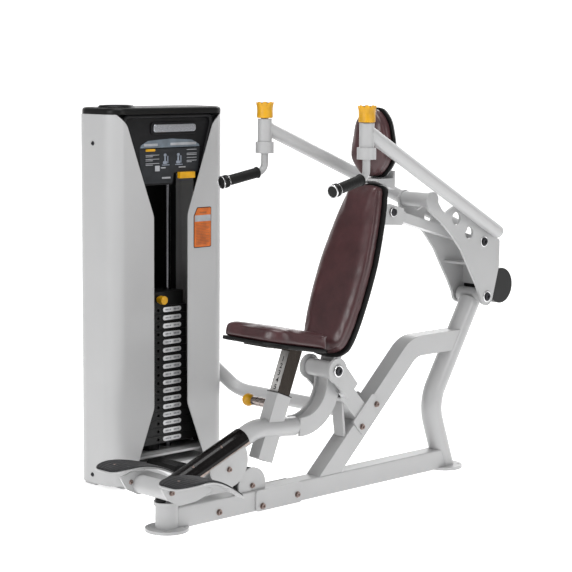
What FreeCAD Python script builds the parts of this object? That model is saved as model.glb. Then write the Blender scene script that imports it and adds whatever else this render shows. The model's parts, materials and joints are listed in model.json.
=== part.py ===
import FreeCAD, Part
import math
import os
import re
import Sketcher
from FreeCAD import Placement, Rotation, Vector

# Shoulder press machine with a rocking seat carriage.
# Frame: +Z up, the user faces -Y, +X is the user's left. The origin is on the floor,
# on the axis of the front post. Lengths are in millimetres, angles in degrees.

DIMENSIONS = {
    # floor frame
    "beam_width": 62.0, "beam_height": 70.0, "beam_base": 4.0, "beam_wall": 4.0,
    "splice_front": 355.0, "splice_length": 212.0, "splice_thickness": 6.0, "beam_joint": 460.0,
    "foot_radius": 70.0, "foot_thickness": 10.0, "foot_hole_radius": 5.5, "foot_hole_circle": 56.0,
    "post_radius": 37.5, "post_wall": 4.0, "post_top": 83.5, "post_cap_radius": 42.5,
    "post_cap_thickness": 12.0, "bumper_radius": 17.0, "bumper_setback": 27.0, "bumper_top": 107.5,
    # rear upright and arm pivot
    "rear_foot_y": 1335.0, "upright_radius": 38.0, "upright_wall": 4.0, "upright_bend_y": 1249.0,
    "upright_bend_z": 250.0, "upright_bend": 150.0, "arm_pivot_y": 1481.0, "arm_pivot_z": 627.0,
    "head_tube_radius": 27.0, "head_tube_length": 112.0, "shaft_radius": 12.0, "running_gap": 0.05,
    "bushing_wall": 5.0,
    # diagonal strut and carriage pivot yoke
    "strut_foot_y": 708.0, "strut_bend_y": 1132.0, "strut_top_z": 472.5, "strut_depth": 72.0,
    "strut_wall": 4.0, "strut_bend": 105.0, "strut_end_y": 1386.0, "strut_slope": 43.27,
    "pivot_y": 700.0, "pivot_z": 440.0, "yoke_reach": 236.2, "stem_depth": 66.0, "fork_gap": 122.0,
    "fork_thickness": 10.0, "fork_radius": 43.0, "fork_length": 108.0, "saddle_length": 112.0,
    "saddle_thickness": 6.0, "brace_radius": 25.0, "brace_wall": 3.0,
    # weight tower
    "tower_front_x": 503.0, "tower_depth": 204.0, "tower_y": 450.0, "tower_width": 522.0,
    "tower_corner": 55.0, "tower_foot": 14.0, "tower_top": 1296.0, "shroud_wall": 4.0,
    "waist_half": 78.0, "waist_low": 300.0, "waist_high": 944.0, "mouth_high_half": 262.0,
    "mouth_low_half": 160.0, "mouth_bottom": 60.0, "shoulder_half": 152.0, "shoulder_high": 1141.0,
    "brow_half": 196.0, "brow_high": 1262.0, "cap_thickness": 24.0, "cap_overhang": 3.0,
    "column_near": 125.0, "column_far": 185.0, "column_inner": 210.0,
    # weight stack
    "plate_depth": 100.0, "plate_pitch": 29.1, "plate_gap": 1.0, "plate_half": 130.0,
    "wide_plate_half": 198.0, "stack_low": 122.0, "stack_recess": 70.0, "rod_spacing": 84.0,
    "rod_radius": 12.5, "rod_hole": 14.0, "stem_radius": 11.0, "stem_hole": 13.0, "plate_count": 17.0,
    "wide_count": 8.0, "head_plate_height": 50.0, "pin_radius": 4.5, "pin_hole": 5.5,
    # press arms and handles
    "arm_radius": 24.0, "arm_wall": 3.0, "arm_front_x": 236.0, "arm_front_y": 681.0,
    "arm_front_z": 1241.0, "arm_tail_x": 84.0, "arm_tail_y": 1519.0, "arm_tail_z": 864.0,
    "grip_x": 240.0, "grip_y": 647.0, "barrel_radius": 24.5, "barrel_low": 1166.0,
    "barrel_high": 1283.0, "collar_radius": 31.5, "collar_height": 38.0, "handle_radius": 12.5,
    "handle_corner_z": 1106.0, "handle_bend": 30.0, "handle_drop": 11.2, "handle_splay": 7.2,
    "grip_start": 30.0, "grip_length": 150.0, "grip_radius": 18.0, "cap_radius": 21.5,
    "cap_length": 22.0, "knob_low": 1286.0, "knob_height": 55.0, "knob_radius": 28.0,
    "knob_flare": 31.0, "side_plate_x": 66.0, "side_plate_thickness": 10.0, "lobe_radius": 30.0,
    "lobe_y": 1172.0, "lobe_z": 995.0, "weight_radius": 65.0, "weight_length": 122.0,
    "weight_y": 1573.0, "weight_z": 659.0,
    # link between the arms and the carriage
    "link_front_y": 985.0, "link_front_z": 962.5, "link_rear_y": 1458.0, "link_rear_z": 831.0,
    "link_width": 44.0, "link_depth": 34.0, "link_wall": 4.0, "eye_radius": 20.0,
    "link_bolt_radius": 8.0, "link_clearance": 8.5,
    # rocking carriage
    "tube_radius": 33.0, "tube_wall": 4.0, "tube_front_y": 5.0, "tube_front_z": 128.0,
    "tube_bend_y": 380.0, "tube_bend_z": 273.5, "tube_bend": 120.0, "box_start_y": 560.0,
    "box_start_z": 259.4, "box_bend_y": 720.0, "box_bend_z": 246.9, "box_bend": 145.0,
    "box_top_z": 455.0, "box_width": 66.0, "box_depth": 62.0, "flange_thickness": 8.0,
    "web_recess": 12.0, "pivot_tube_radius": 30.0, "pivot_tube_length": 116.0,
    "cross_tube_y": -30.0, "cross_tube_z": 138.0, "cross_tube_radius": 30.0,
    "cross_tube_length": 190.0, "ear_thickness": 8.0, "cover_start": 22.0, "cover_length": 318.0,
    "cover_thickness": 2.5, "disc_y": 231.0, "disc_z": 189.0, "disc_radius": 83.0,
    "disc_thickness": 6.0, "carriage_pulley_y": 235.0, "carriage_pulley_z": 142.0,
    "carriage_pulley_radius": 38.0, "beam_pulley_y": 350.0, "beam_pulley_z": 92.0,
    "beam_pulley_radius": 57.0, "beam_plate_radius": 60.0, "pulley_width": 22.0,
    "pulley_gap": 5.0, "top_pulley_radius": 45.0,
    # foot rests
    "rest_thickness": 6.0, "mat_thickness": 5.0,
    # seat
    "post_tilt": 22.0, "sleeve_top_y": 491.0, "sleeve_top_z": 372.0, "sleeve_length": 222.0,
    "sleeve_width": 48.0, "sleeve_depth": 66.0, "seat_post_width": 39.0,
    "seat_post_depth": 57.0, "seat_post_wall": 4.0, "seat_post_low": -108.0,
    "seat_post_high": 166.0, "seat_tilt": 10.8, "seat_y": 467.0, "seat_z": 606.0,
    "seat_width": 290.0, "seat_length": 250.0, "seat_pad_thickness": 50.0,
    "seat_board_thickness": 13.0, "pin_height": -34.0, "pin_setback": -4.0,
    "hole_pitch": 25.0, "hole_count": 5.0,
    "pin_barrel_radius": 12.5, "pin_barrel_length": 84.0, "pin_rod_radius": 6.0, "ball_radius": 22.0,
    # back and head rest
    "recline": 21.0, "back_y": 713.0, "back_z": 630.0, "back_pad_thickness": 46.0,
    "back_board_thickness": 13.0, "spine_width": 60.0, "spine_depth": 36.0, "spine_wall": 3.0,
    "spine_low": -165.0, "spine_high": 505.0, "head_y": 900.0, "head_z": 1190.0,
    "head_pad_thickness": 50.0, "head_shell_thickness": 20.0,
    # sines and cosines of the slopes above
    "post_sin": "=sin(post_tilt)", "post_cos": "=cos(post_tilt)",
    "seat_sin": "=sin(seat_tilt)", "seat_cos": "=cos(seat_tilt)",
    "lean_sin": "=sin(recline)", "lean_cos": "=cos(recline)",
    "drop_sin": "=sin(handle_drop)", "drop_cos": "=cos(handle_drop)",
    "rise_length": "=hypot(tube_bend_y - tube_front_y; tube_bend_z - tube_front_z)",
    "rise_sin": "=(tube_bend_z - tube_front_z) / rise_length",
    "rise_cos": "=(tube_bend_y - tube_front_y) / rise_length",
}

SHEET_COLUMN = "B"
WORD = re.compile(r"[a-z][a-z_]+")
ROLES = {"XY": "XY_Plane", "XZ": "XZ_Plane", "YZ": "YZ_Plane"}
ALONG = {"X": Rotation(Vector(0, 1, 0), 90), "Y": Rotation(Vector(1, 0, 0), -90), "Z": Rotation()}

doc = FreeCAD.newDocument("ShoulderPress")
sheet = doc.addObject("Spreadsheet::Sheet", "Dimensions")
for row, (alias, size) in enumerate(DIMENSIONS.items(), start=1):
    sheet.set("A%d" % row, alias)
    sheet.set("%s%d" % (SHEET_COLUMN, row), str(size))
    sheet.setAlias("%s%d" % (SHEET_COLUMN, row), alias)
doc.recompute()
nodes = []


def formula(text):
    """A formula of plain sheet names, as an expression on the sheet."""
    return WORD.sub(lambda word: "Dimensions." + word.group(0) if word.group(0) in DIMENSIONS
                    else word.group(0), str(text))


def amount(text):
    """The number that such a formula stands for now."""
    plain = WORD.sub(lambda word: "(%f)" % sheet.get(word.group(0)) if word.group(0) in DIMENSIONS
                     else word.group(0), str(text))
    return FreeCAD.Units.Quantity(plain).Value


def bind(thing, prop, text):
    """Tie one property of a thing to the sheet."""
    thing.setExpression(prop, formula(text))


def place(thing, middle, turn=Rotation()):
    """Put a thing at a place given by formulas, turned by a rotation."""
    thing.Placement = Placement(Vector(*[amount(text) for text in middle]), turn)
    for letter, text in zip("xyz", middle):
        bind(thing, "Placement.Base." + letter, text)
    return thing


def node(thing, label):
    """Name a finished sub-part, so that it is written out under that name."""
    thing.Label = label
    nodes.append(thing)
    return thing


# ---- plain solids -------------------------------------------------------------------------

def rod(name, radius, length, middle, axis="X"):
    """A round bar centred on a point, along X, Y or Z."""
    bar = doc.addObject("Part::Cylinder", name)
    bind(bar, "Radius", radius)
    bind(bar, "Height", length)
    start = list(middle)
    index = "XYZ".index(axis)
    start[index] = "%s - (%s) / 2" % (start[index], length)
    return place(bar, start, ALONG[axis])


def box(name, size, corner, turn=Rotation()):
    """A block from its lowest corner."""
    block = doc.addObject("Part::Box", name)
    for prop, text in zip(("Length", "Width", "Height"), size):
        bind(block, prop, text)
    return place(block, corner, turn)


def cut(name, base, *tools):
    """A solid with others taken out of it."""
    tool = tools[0] if len(tools) == 1 else join(name + "_tools", *tools)
    result = doc.addObject("Part::Cut", name)
    result.Base = base
    result.Tool = tool
    return result


def join(name, *things):
    """Solids welded into one."""
    result = doc.addObject("Part::MultiFuse", name)
    result.Shapes = list(things)
    return result


def overlap(name, base, tool):
    """What two solids share."""
    result = doc.addObject("Part::Common", name)
    result.Base = base
    result.Tool = tool
    return result


def group(name, *things):
    """Separate solids kept together, such as a set of bolts."""
    result = doc.addObject("Part::Compound", name)
    result.Links = list(things)
    return result


def mirror(name, thing):
    """The same piece on the user's other side."""
    result = doc.addObject("Part::Mirroring", name)
    result.Source = thing
    result.Base = Vector(0, 0, 0)
    result.Normal = Vector(1, 0, 0)
    return result


def pair(name, thing):
    """A piece and its mirror image as one group."""
    return group(name, thing, mirror(name + "_mirror", thing))


def ring(name, outer, inner, length, middle, axis="X"):
    """A round tube centred on a point."""
    return cut(name, rod(name + "_outside", outer, length, middle, axis),
               rod(name + "_bore", inner, "(%s) + 2" % length, middle, axis))


# ---- sketched solids ----------------------------------------------------------------------

def start_body(name):
    """An empty body."""
    return doc.addObject("PartDesign::Body", name)


def sketch_on(body, name, face):
    """A sketch on one of the body's own origin planes."""
    sketch = body.newObject("Sketcher::SketchObject", name)
    plane = next(item for item in body.Origin.OriginFeatures if item.Role == ROLES[face])
    sketch.AttachmentSupport = (plane, [""])
    sketch.MapMode = "FlatFace"
    return sketch


def pin_point(sketch, element, point, across, up):
    """Hold one sketch point at a place given by formulas."""
    for kind, text in (("DistanceX", across), ("DistanceY", up)):
        number = sketch.addConstraint(Sketcher.Constraint(kind, -1, 1, element, point, amount(text)))
        sketch.setExpression("Constraints[%d]" % number, formula(text))


def draw_outline(sketch, outline, construction=False, closed=True):
    """Straight lines through points whose places are formulas; gives the first line's number."""
    spots = [Vector(amount(across), amount(up), 0) for across, up in outline]
    ends = spots[1:] + spots[:1] if closed else spots[1:]
    lines = [Part.LineSegment(first, last) for first, last in zip(spots, ends)]
    first_line = sketch.GeometryCount
    sketch.addGeometry(lines, construction)
    count = len(lines)
    for index in range(count if closed else count - 1):
        following = first_line + (index + 1) % count
        sketch.addConstraint(Sketcher.Constraint("Coincident", first_line + index, 2, following, 1))
    for index, (across, up) in enumerate(outline):
        if index < count:
            pin_point(sketch, first_line + index, 1, across, up)
        else:
            pin_point(sketch, first_line + count - 1, 2, across, up)
    return first_line


def draw_circle(sketch, across, up, radius):
    """A circle whose centre and radius are formulas."""
    centre = Vector(amount(across), amount(up), 0)
    number = sketch.addGeometry(Part.Circle(centre, Vector(0, 0, 1), amount(radius)))
    pin_point(sketch, number, 3, across, up)
    limit = sketch.addConstraint(Sketcher.Constraint("Radius", number, amount(radius)))
    sketch.setExpression("Constraints[%d]" % limit, formula(radius))


def round_corners(body, feature, outline, face, rounding):
    """Fillet the pad's edges at the outline's corners, each corner with its own radius."""
    flat = {"XY": (0, 1), "XZ": (0, 2), "YZ": (1, 2)}[face]
    normal = {"XY": 2, "XZ": 1, "YZ": 0}[face]
    for radius in sorted(set(rounding) - {"0"}, key=amount, reverse=True):
        corners = [(amount(across), amount(up)) for (across, up), own in zip(outline, rounding)
                   if own == radius]
        doc.recompute()
        edges = []
        for index, edge in enumerate(feature.Shape.Edges, start=1):
            ends = [vertex.Point for vertex in edge.Vertexes]
            if len(ends) != 2 or abs(ends[0][normal] - ends[1][normal]) < 1.0:
                continue
            if any(all(math.hypot(end[flat[0]] - across, end[flat[1]] - up) < 0.1 for end in ends)
                   for across, up in corners):
                edges.append("Edge%d" % index)
        fillet = body.newObject("PartDesign::Fillet", "%s_round_%d" % (body.Name, len(body.Group)))
        fillet.Base = (feature, edges)
        bind(fillet, "Radius", radius)
        feature = fillet
    return feature


def plate(name, face, outline, thickness, middle=("0", "0", "0"), turn=Rotation(), holes=(),
          rounding=()):
    """A flat piece: an outline on one plane, as thick as asked, half to each side of it.

    Each hole is a centre and a radius. Rounding gives one radius for each corner in turn,
    or a single radius for all of them."""
    body = start_body(name)
    sketch = sketch_on(body, name + "_outline", face)
    if outline:
        draw_outline(sketch, outline)
    for across, up, radius in holes:
        draw_circle(sketch, across, up, radius)
    pad = body.newObject("PartDesign::Pad", name + "_pad")
    pad.Profile = sketch
    pad.SideType = "Symmetric"
    bind(pad, "Length", thickness)
    if rounding:
        each = rounding if isinstance(rounding, (list, tuple)) else [rounding] * len(outline)
        round_corners(body, pad, outline, face, each)
    return place(body, middle, turn)


def disc(name, face, radius, thickness, middle, holes=(), turn=Rotation()):
    """A round plate with round holes."""
    return plate(name, face, (), thickness, middle, turn, [("0", "0", radius)] + list(holes))


def bend_route(sketch, corners, bends):
    """A route of straight runs joined by tangent arcs, held by its corners and bend radii."""
    guide = draw_outline(sketch, corners, construction=True, closed=False)
    spots = [Vector(amount(across), amount(up), 0) for across, up in corners]
    runs = [(last - first).normalize() for first, last in zip(spots, spots[1:])]
    starts = [spots[0]]
    stops = []
    arcs = []
    for spot, before, after, bend in zip(spots[1:], runs, runs[1:], bends):
        radius = amount(bend)
        turn = before.getAngle(after)
        reach = radius * math.tan(turn / 2)
        middle = spot + (after - before).normalize() * radius * (1 / math.cos(turn / 2) - 1)
        arcs.append(Part.Arc(spot - before * reach, middle, spot + after * reach))
        stops.append(spot - before * reach)
        starts.append(spot + after * reach)
    stops.append(spots[-1])
    first_line = sketch.GeometryCount
    sketch.addGeometry([Part.LineSegment(start, stop) for start, stop in zip(starts, stops)], False)
    first_arc = sketch.GeometryCount
    if arcs:
        sketch.addGeometry(arcs, False)
    count = len(starts)
    sketch.addConstraint(Sketcher.Constraint("Coincident", first_line, 1, guide, 1))
    sketch.addConstraint(Sketcher.Constraint("Coincident", first_line + count - 1, 2,
                                             guide + count - 1, 2))
    for index in range(count - 1):
        line, arc = first_line + index, first_arc + index
        before, after = runs[index], runs[index + 1]
        left = before.cross(after).z > 0
        sketch.addConstraint(Sketcher.Constraint("Tangent", line, 2, arc, 1 if left else 2))
        sketch.addConstraint(Sketcher.Constraint("Tangent", line + 1, 1, arc, 2 if left else 1))
        sketch.addConstraint(Sketcher.Constraint("PointOnObject", line, 2, guide + index))
        sketch.addConstraint(Sketcher.Constraint("PointOnObject", line + 1, 1, guide + index + 1))
        limit = sketch.addConstraint(Sketcher.Constraint("Radius", arc, amount(bends[index])))
        sketch.setExpression("Constraints[%d]" % limit, formula(bends[index]))


def sweep(name, face, corners, bends, section, middle=("0", "0", "0"), turn=Rotation()):
    """A section carried along a bent route. The section is a function that draws it."""
    body = start_body(name)
    route = sketch_on(body, name + "_route", face)
    bend_route(route, corners, bends)
    doc.recompute()
    profile = body.newObject("Sketcher::SketchObject", name + "_section")
    profile.AttachmentSupport = (route, ["Edge1"])
    profile.MapMode = "NormalToEdge"
    profile.MapPathParameter = 0.0
    section(profile)
    pipe = body.newObject("PartDesign::AdditivePipe", name + "_pipe")
    pipe.Profile = profile
    pipe.Spine = route
    return place(body, middle, turn)


def round_section(radius, wall=None):
    """A round section, hollow when a wall is given."""
    def draw(sketch):
        draw_circle(sketch, "0", "0", radius)
        if wall:
            draw_circle(sketch, "0", "0", "(%s) - (%s)" % (radius, wall))
    return draw


def rectangle(width, height, inset="0"):
    """The corners of a rectangle centred on the origin."""
    half_w = "((%s) / 2 - (%s))" % (width, inset)
    half_h = "((%s) / 2 - (%s))" % (height, inset)
    return [("-" + half_w, "-" + half_h), (half_w, "-" + half_h),
            (half_w, half_h), ("-" + half_w, half_h)]


def box_section(width, height, wall):
    """A rectangular tube's section, the width across the machine."""
    def draw(sketch):
        draw_outline(sketch, rectangle(width, height))
        draw_outline(sketch, rectangle(width, height, wall))
    return draw


def flanged_section(width, height, flange, recess):
    """A web between two side plates that stand proud of it by the recess."""
    outer, inner = "(%s) / 2" % width, "((%s) / 2 - (%s))" % (width, flange)
    edge, floor = "(%s) / 2" % height, "((%s) / 2 - (%s))" % (height, recess)
    quarter = [(outer, edge), (inner, edge), (inner, floor)]
    left_top = [("-" + across, up) for across, up in reversed(quarter)]
    top = quarter + left_top
    bottom = [(across, "-" + up) for across, up in reversed(top)]

    def draw(sketch):
        draw_outline(sketch, top + bottom)
    return draw


def along(name, radius, start, direction, length):
    """A round bar from a point, in any direction."""
    bar = doc.addObject("Part::Cylinder", name)
    bind(bar, "Radius", radius)
    bind(bar, "Height", length)
    return place(bar, start, Rotation(Vector(0, 0, 1), direction))


def symmetric(half):
    """A closed outline from half-widths at heights, mirrored about the middle."""
    right = [("%s" % width, "%s" % height) for height, width in half]
    left = [("-(%s)" % width, "%s" % height) for height, width in reversed(half)]
    return right + left


def bolt(name, radius, x, y, z, side):
    """A socket-head bolt with its washer, its head facing the user's left or right."""
    sign = "+" if side > 0 else "-"
    washer = rod(name + "_washer", "(%s) * 1.35" % radius, "2", ("(%s) %s 1" % (x, sign), y, z))
    head = rod(name + "_head", radius, "6", ("(%s) %s 5" % (x, sign), y, z))
    socket = doc.addObject("Part::Prism", name + "_socket")
    socket.Polygon = 6
    bind(socket, "Circumradius", "(%s) * 0.55" % radius)
    bind(socket, "Height", "4")
    place(socket, ("(%s) %s %s" % (x, sign, "4.5" if side > 0 else "8.5"), y, z), ALONG["X"])
    return group(name, washer, cut(name + "_screw", head, socket))


def bolt_set(label, spots):
    """Several bolts as one node of separate solids."""
    bolts = [bolt("%s_%d" % (label, number), *spot) for number, spot in enumerate(spots, start=1)]
    return node(group(label, *bolts), label)


# ---- floor frame --------------------------------------------------------------------------

def foot_plate(name, y):
    """A round floor plate with four anchor holes."""
    holes = [("foot_hole_circle * %s / 1.41421356" % a, "foot_hole_circle * %s / 1.41421356" % b,
              "foot_hole_radius") for a in ("1", "-1") for b in ("1", "-1")]
    return disc(name, "XY", "foot_radius", "foot_thickness", ("0", y, "foot_thickness / 2"), holes)


def front_post():
    post = ring("post_tube", "post_radius", "post_radius - post_wall", "post_top - foot_thickness",
                ("0", "0", "(post_top + foot_thickness) / 2"), "Z")
    cap = disc("post_cap", "XY", "post_cap_radius", "post_cap_thickness",
               ("0", "0", "post_top + post_cap_thickness / 2"))
    node(join("front_post_weld", foot_plate("front_plate", "0"), post, cap), "front_post")
    height = "bumper_top - post_top - post_cap_thickness"
    spot = ("0", "-bumper_setback", "bumper_top - (%s) / 2" % height)
    node(rod("bumper", "bumper_radius", height, spot, "Z"), "stop_bumper")


def beam(name, first, last, *tools):
    """A run of the rectangular floor beam, cut where it meets the posts."""
    tube = plate(name, "XZ", rectangle("beam_width", "beam_height"), "(%s) - (%s)" % (last, first),
                 ("0", "((%s) + (%s)) / 2" % (last, first), "beam_base + beam_height / 2"),
                 rounding="5")
    hollow = box(name + "_hollow", ("beam_width - 2 * beam_wall", "(%s) - (%s) + 80" % (last, first),
                                    "beam_height - 2 * beam_wall"),
                 ("beam_wall - beam_width / 2", "(%s) - 40" % first, "beam_base + beam_wall"))
    return cut(name + "_cut", tube, hollow, *tools)


def upright_route():
    return [("rear_foot_y + 10.8", "foot_thickness - 30"), ("upright_bend_y", "upright_bend_z"),
            ("arm_pivot_y - 10", "arm_pivot_z - 17.4")]


def floor_frame():
    front_post()
    post = rod("post_envelope", "post_radius", "200", ("0", "0", "100"), "Z")
    feet = [rod("foot_envelope_%d" % number, "foot_radius", "foot_thickness",
                ("0", y, "foot_thickness / 2"), "Z")
            for number, y in enumerate(("0", "rear_foot_y"))]
    solid_upright = sweep("upright_envelope", "YZ", upright_route(), ["upright_bend"],
                          round_section("upright_radius"))
    slot = box("pulley_slot", ("pulley_width + 4", "2 * beam_pulley_radius + 8", "60"),
               ("-pulley_width / 2 - 2", "beam_pulley_y - beam_pulley_radius - 4",
                "beam_pulley_z - beam_pulley_radius - 4"))
    node(beam("front_run", "20", "beam_joint", post, slot, feet[0]), "front_beam")
    node(beam("rear_run", "beam_joint + 0.5", "rear_foot_y - 10", solid_upright, feet[1]),
         "main_beam")
    splice = plate("splice", "YZ", rectangle("splice_length", "beam_height"), "splice_thickness",
                   ("(beam_width + splice_thickness) / 2", "splice_front + splice_length / 2",
                    "beam_base + beam_height / 2"), rounding="10")
    node(pair("splices", splice), "beam_splice_plates")

    head = ("0", "arm_pivot_y", "arm_pivot_z")
    head_solid = rod("head_tube_solid", "head_tube_radius", "head_tube_length", head)
    bore = rod("head_tube_bore", "shaft_radius + bushing_wall", "head_tube_length + 2", head)
    upright = sweep("upright_tube", "YZ", upright_route(), ["upright_bend"],
                    round_section("upright_radius", "upright_wall"))
    head_ring = cut("head_ring", head_solid, bore)
    below = box("floor_space", ("200", "200", "100"), ("-100", "rear_foot_y - 100",
                                                       "foot_thickness - 100"))
    node(join("upright_weld", foot_plate("rear_plate", "rear_foot_y"),
              cut("upright_coped", upright, head_solid, below), head_ring), "rear_upright")
    node(ring("head_bush", "shaft_radius + bushing_wall", "shaft_radius + running_gap",
              "head_tube_length + 4", head), "pivot_bushings")

    floor_block = box("beam_block", ("200", "800", "100"), ("-100", "400", "beam_base - 30"))
    strut = sweep("strut_tube", "YZ", [("strut_foot_y - 46", "beam_height - 40"),
                                       ("strut_bend_y", "strut_top_z"),
                                       ("strut_end_y", "strut_top_z")],
                  ["strut_bend"], box_section("beam_width", "strut_depth", "strut_wall"))
    node(cut("strut_cut", strut, floor_block, solid_upright), "diagonal_strut")


def pivot_yoke():
    """The forked bracket that carries the rocking carriage, bolted across the strut."""
    turn = Rotation(Vector(1, 0, 0), amount("strut_slope"))
    home = ("0", "pivot_y", "pivot_z")
    side = "(fork_gap + fork_thickness) / 2"

    def local(name, face, outline, thickness, shift, **more):
        """A plate in the yoke's own frame, moved across the machine by the shift."""
        return plate(name, face, outline, thickness, (shift, "pivot_y", "pivot_z"), turn, **more)

    prong = [("-38", "0"), ("-34", "-fork_length"), ("34", "-fork_length"), ("38", "0")]
    fork = join("fork_side", local("fork_blade", "YZ", prong, "fork_thickness", side),
                disc("fork_eye", "YZ", "fork_radius", "fork_thickness",
                     (side, "pivot_y", "pivot_z")))
    depth = "stem_depth / 2"
    bridge = [("-" + depth, "-fork_length + 4"), (depth, "-fork_length + 4"),
              (depth, "-fork_length + 24"), ("-" + depth, "-fork_length + 24")]
    stem = [("-" + depth, "-yoke_reach"), (depth, "-yoke_reach"),
            (depth, "-fork_length + 10"), ("-" + depth, "-fork_length + 10")]
    inside = [("4 - " + depth, "-yoke_reach - 5"), (depth + " - 4", "-yoke_reach - 5"),
              (depth + " - 4", "-fork_length"), ("4 - " + depth, "-fork_length")]
    saddle = [("14 - saddle_length / 2 - 10", "-yoke_reach + 14"),
              ("14 + saddle_length / 2 + 10", "-yoke_reach + 14"),
              ("14 + saddle_length / 2 + 10", "-yoke_reach - 58"),
              ("14 - saddle_length / 2 - 10", "-yoke_reach - 58")]
    brace = [("-33", "-136"), ("-33", "-150"), ("-68", "-196"), ("-97", "-yoke_reach"),
             ("-109", "-yoke_reach"), ("-77", "-190")]
    saddle_x = "(beam_width + saddle_thickness) / 2 + 0.2"
    weld = join("yoke_weld", pair("forks", fork),
                local("bridge", "YZ", bridge, "fork_gap", "0"),
                cut("stem_tube", local("stem", "YZ", stem, "beam_width + 0.4", "0"),
                    local("stem_inside", "YZ", inside, "beam_width - 8", "0")),
                pair("saddles", local("saddle", "YZ", saddle, "saddle_thickness", saddle_x,
                                      rounding="8")),
                local("gusset", "YZ", brace, "46", "0"))
    carriage_space = box("carriage_space", ("box_width + 10", "200", "300"),
                         ("-box_width / 2 - 5", "pivot_y - 143", "pivot_z - 240"))
    bore = rod("yoke_bore", "shaft_radius", "fork_gap + 60", home)
    node(cut("yoke_bored", weld, bore, carriage_space), "pivot_yoke")
    shaft = rod("pivot_pin", "shaft_radius", "fork_gap + 2 * fork_thickness + 4", home)
    caps = pair("pivot_caps", bolt("pivot_cap", "13", "fork_gap / 2 + fork_thickness + 2",
                                   "pivot_y", "pivot_z", 1))
    node(group("pivot_shaft_set", shaft, caps), "carriage_pivot_shaft")


def brace_tube(column):
    """The bent tube that ties the strut to a column of the weight tower. Gives its outside."""
    first = Vector(-20, 875.1, 261.2)
    corner = Vector(-520, 785, 285)
    last = Vector(-654, 687, 439)
    run, rise = corner - first, last - corner
    across = Vector(run).normalize()
    normal = across.cross(rise).normalize()
    turn = Rotation(across, normal.cross(across), normal, "XYZ")
    bend = run.getAngle(rise)
    route = [("0", "0"), ("%f" % run.Length, "0"),
             ("%f" % (run.Length + rise.Length * math.cos(bend)),
              "%f" % (rise.Length * math.sin(bend)))]
    middle = ["%f" % value for value in first]
    tube = sweep("brace", "XY", route, ["110"], round_section("brace_radius", "brace_wall"),
                 middle, turn)
    strut_side = box("strut_side", ("100", "200", "200"),
                     ("-beam_width / 2 - saddle_thickness - 0.3", "780", "160"))
    node(cut("brace_coped", tube, column, strut_side), "brace_tube")
    return sweep("brace_envelope", "XY", route, ["110"], round_section("brace_radius + 2"),
                 middle, turn)


def beam_pulley_set():
    """The pulley on the floor beam, its half-round plate and the small ear on its far side."""
    spot = ("0", "beam_pulley_y", "beam_pulley_z")
    side = "pulley_width / 2 + pulley_gap + splice_thickness / 2"
    round_part = disc("pulley_cheek_disc", "YZ", "beam_plate_radius", "splice_thickness",
                      (side, "beam_pulley_y", "beam_pulley_z"))
    foot = box("pulley_cheek_foot", ("60", "200", "100"),
               ("-10", "beam_pulley_y - 100", "beam_base + beam_height - 100"))
    cheek = cut("pulley_cheek", round_part, foot)
    ear = plate("pulley_ear", "YZ", [("-22", "beam_base + beam_height - beam_pulley_z"),
                                     ("22", "beam_base + beam_height - beam_pulley_z"),
                                     ("14", "16"), ("-14", "16")],
                "splice_thickness", ("-(%s)" % side, "beam_pulley_y", "beam_pulley_z"))
    axle = rod("beam_pulley_axle", "8", "2 * (%s)" % side, spot)
    node(join("pulley_bracket", cheek, ear, axle), "beam_pulley_bracket")
    node(pulley("beam_wheel", "beam_pulley_radius", spot, "X"), "beam_pulley")


def pulley(name, radius, spot, axis):
    """A flat-belt pulley: a rim between two flanges, bored for its axle."""
    wheel = rod(name + "_wheel", radius, "pulley_width", spot, axis)
    groove = ring(name + "_groove", "(%s) + 1" % radius, "(%s) - 5" % radius, "pulley_width - 6",
                  spot, axis)
    bore = rod(name + "_bore", "8 + running_gap", "pulley_width + 4", spot, axis)
    return cut(name, wheel, groove, bore)


# ---- weight tower -------------------------------------------------------------------------

def tower_box(name, x_near, x_far, half, low, high):
    """A block inside the tower, between two depths behind the front plane."""
    return box(name, ("(%s) - (%s)" % (x_far, x_near), "2 * (%s)" % half, "(%s) - (%s)" % (high, low)),
               ("-tower_front_x - (%s)" % x_far, "tower_y - (%s)" % half, low))


def tower_shell(name, inset, low, high, half):
    """A rounded upright block with the tower's plan, smaller by the inset."""
    centre = ("-tower_front_x - tower_depth / 2", half, "((%s) + (%s)) / 2" % (low, high))
    return plate(name, "XY", rectangle("tower_depth", "tower_width", inset),
                 "(%s) - (%s)" % (high, low), centre, rounding="tower_corner - (%s)" % inset)


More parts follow.
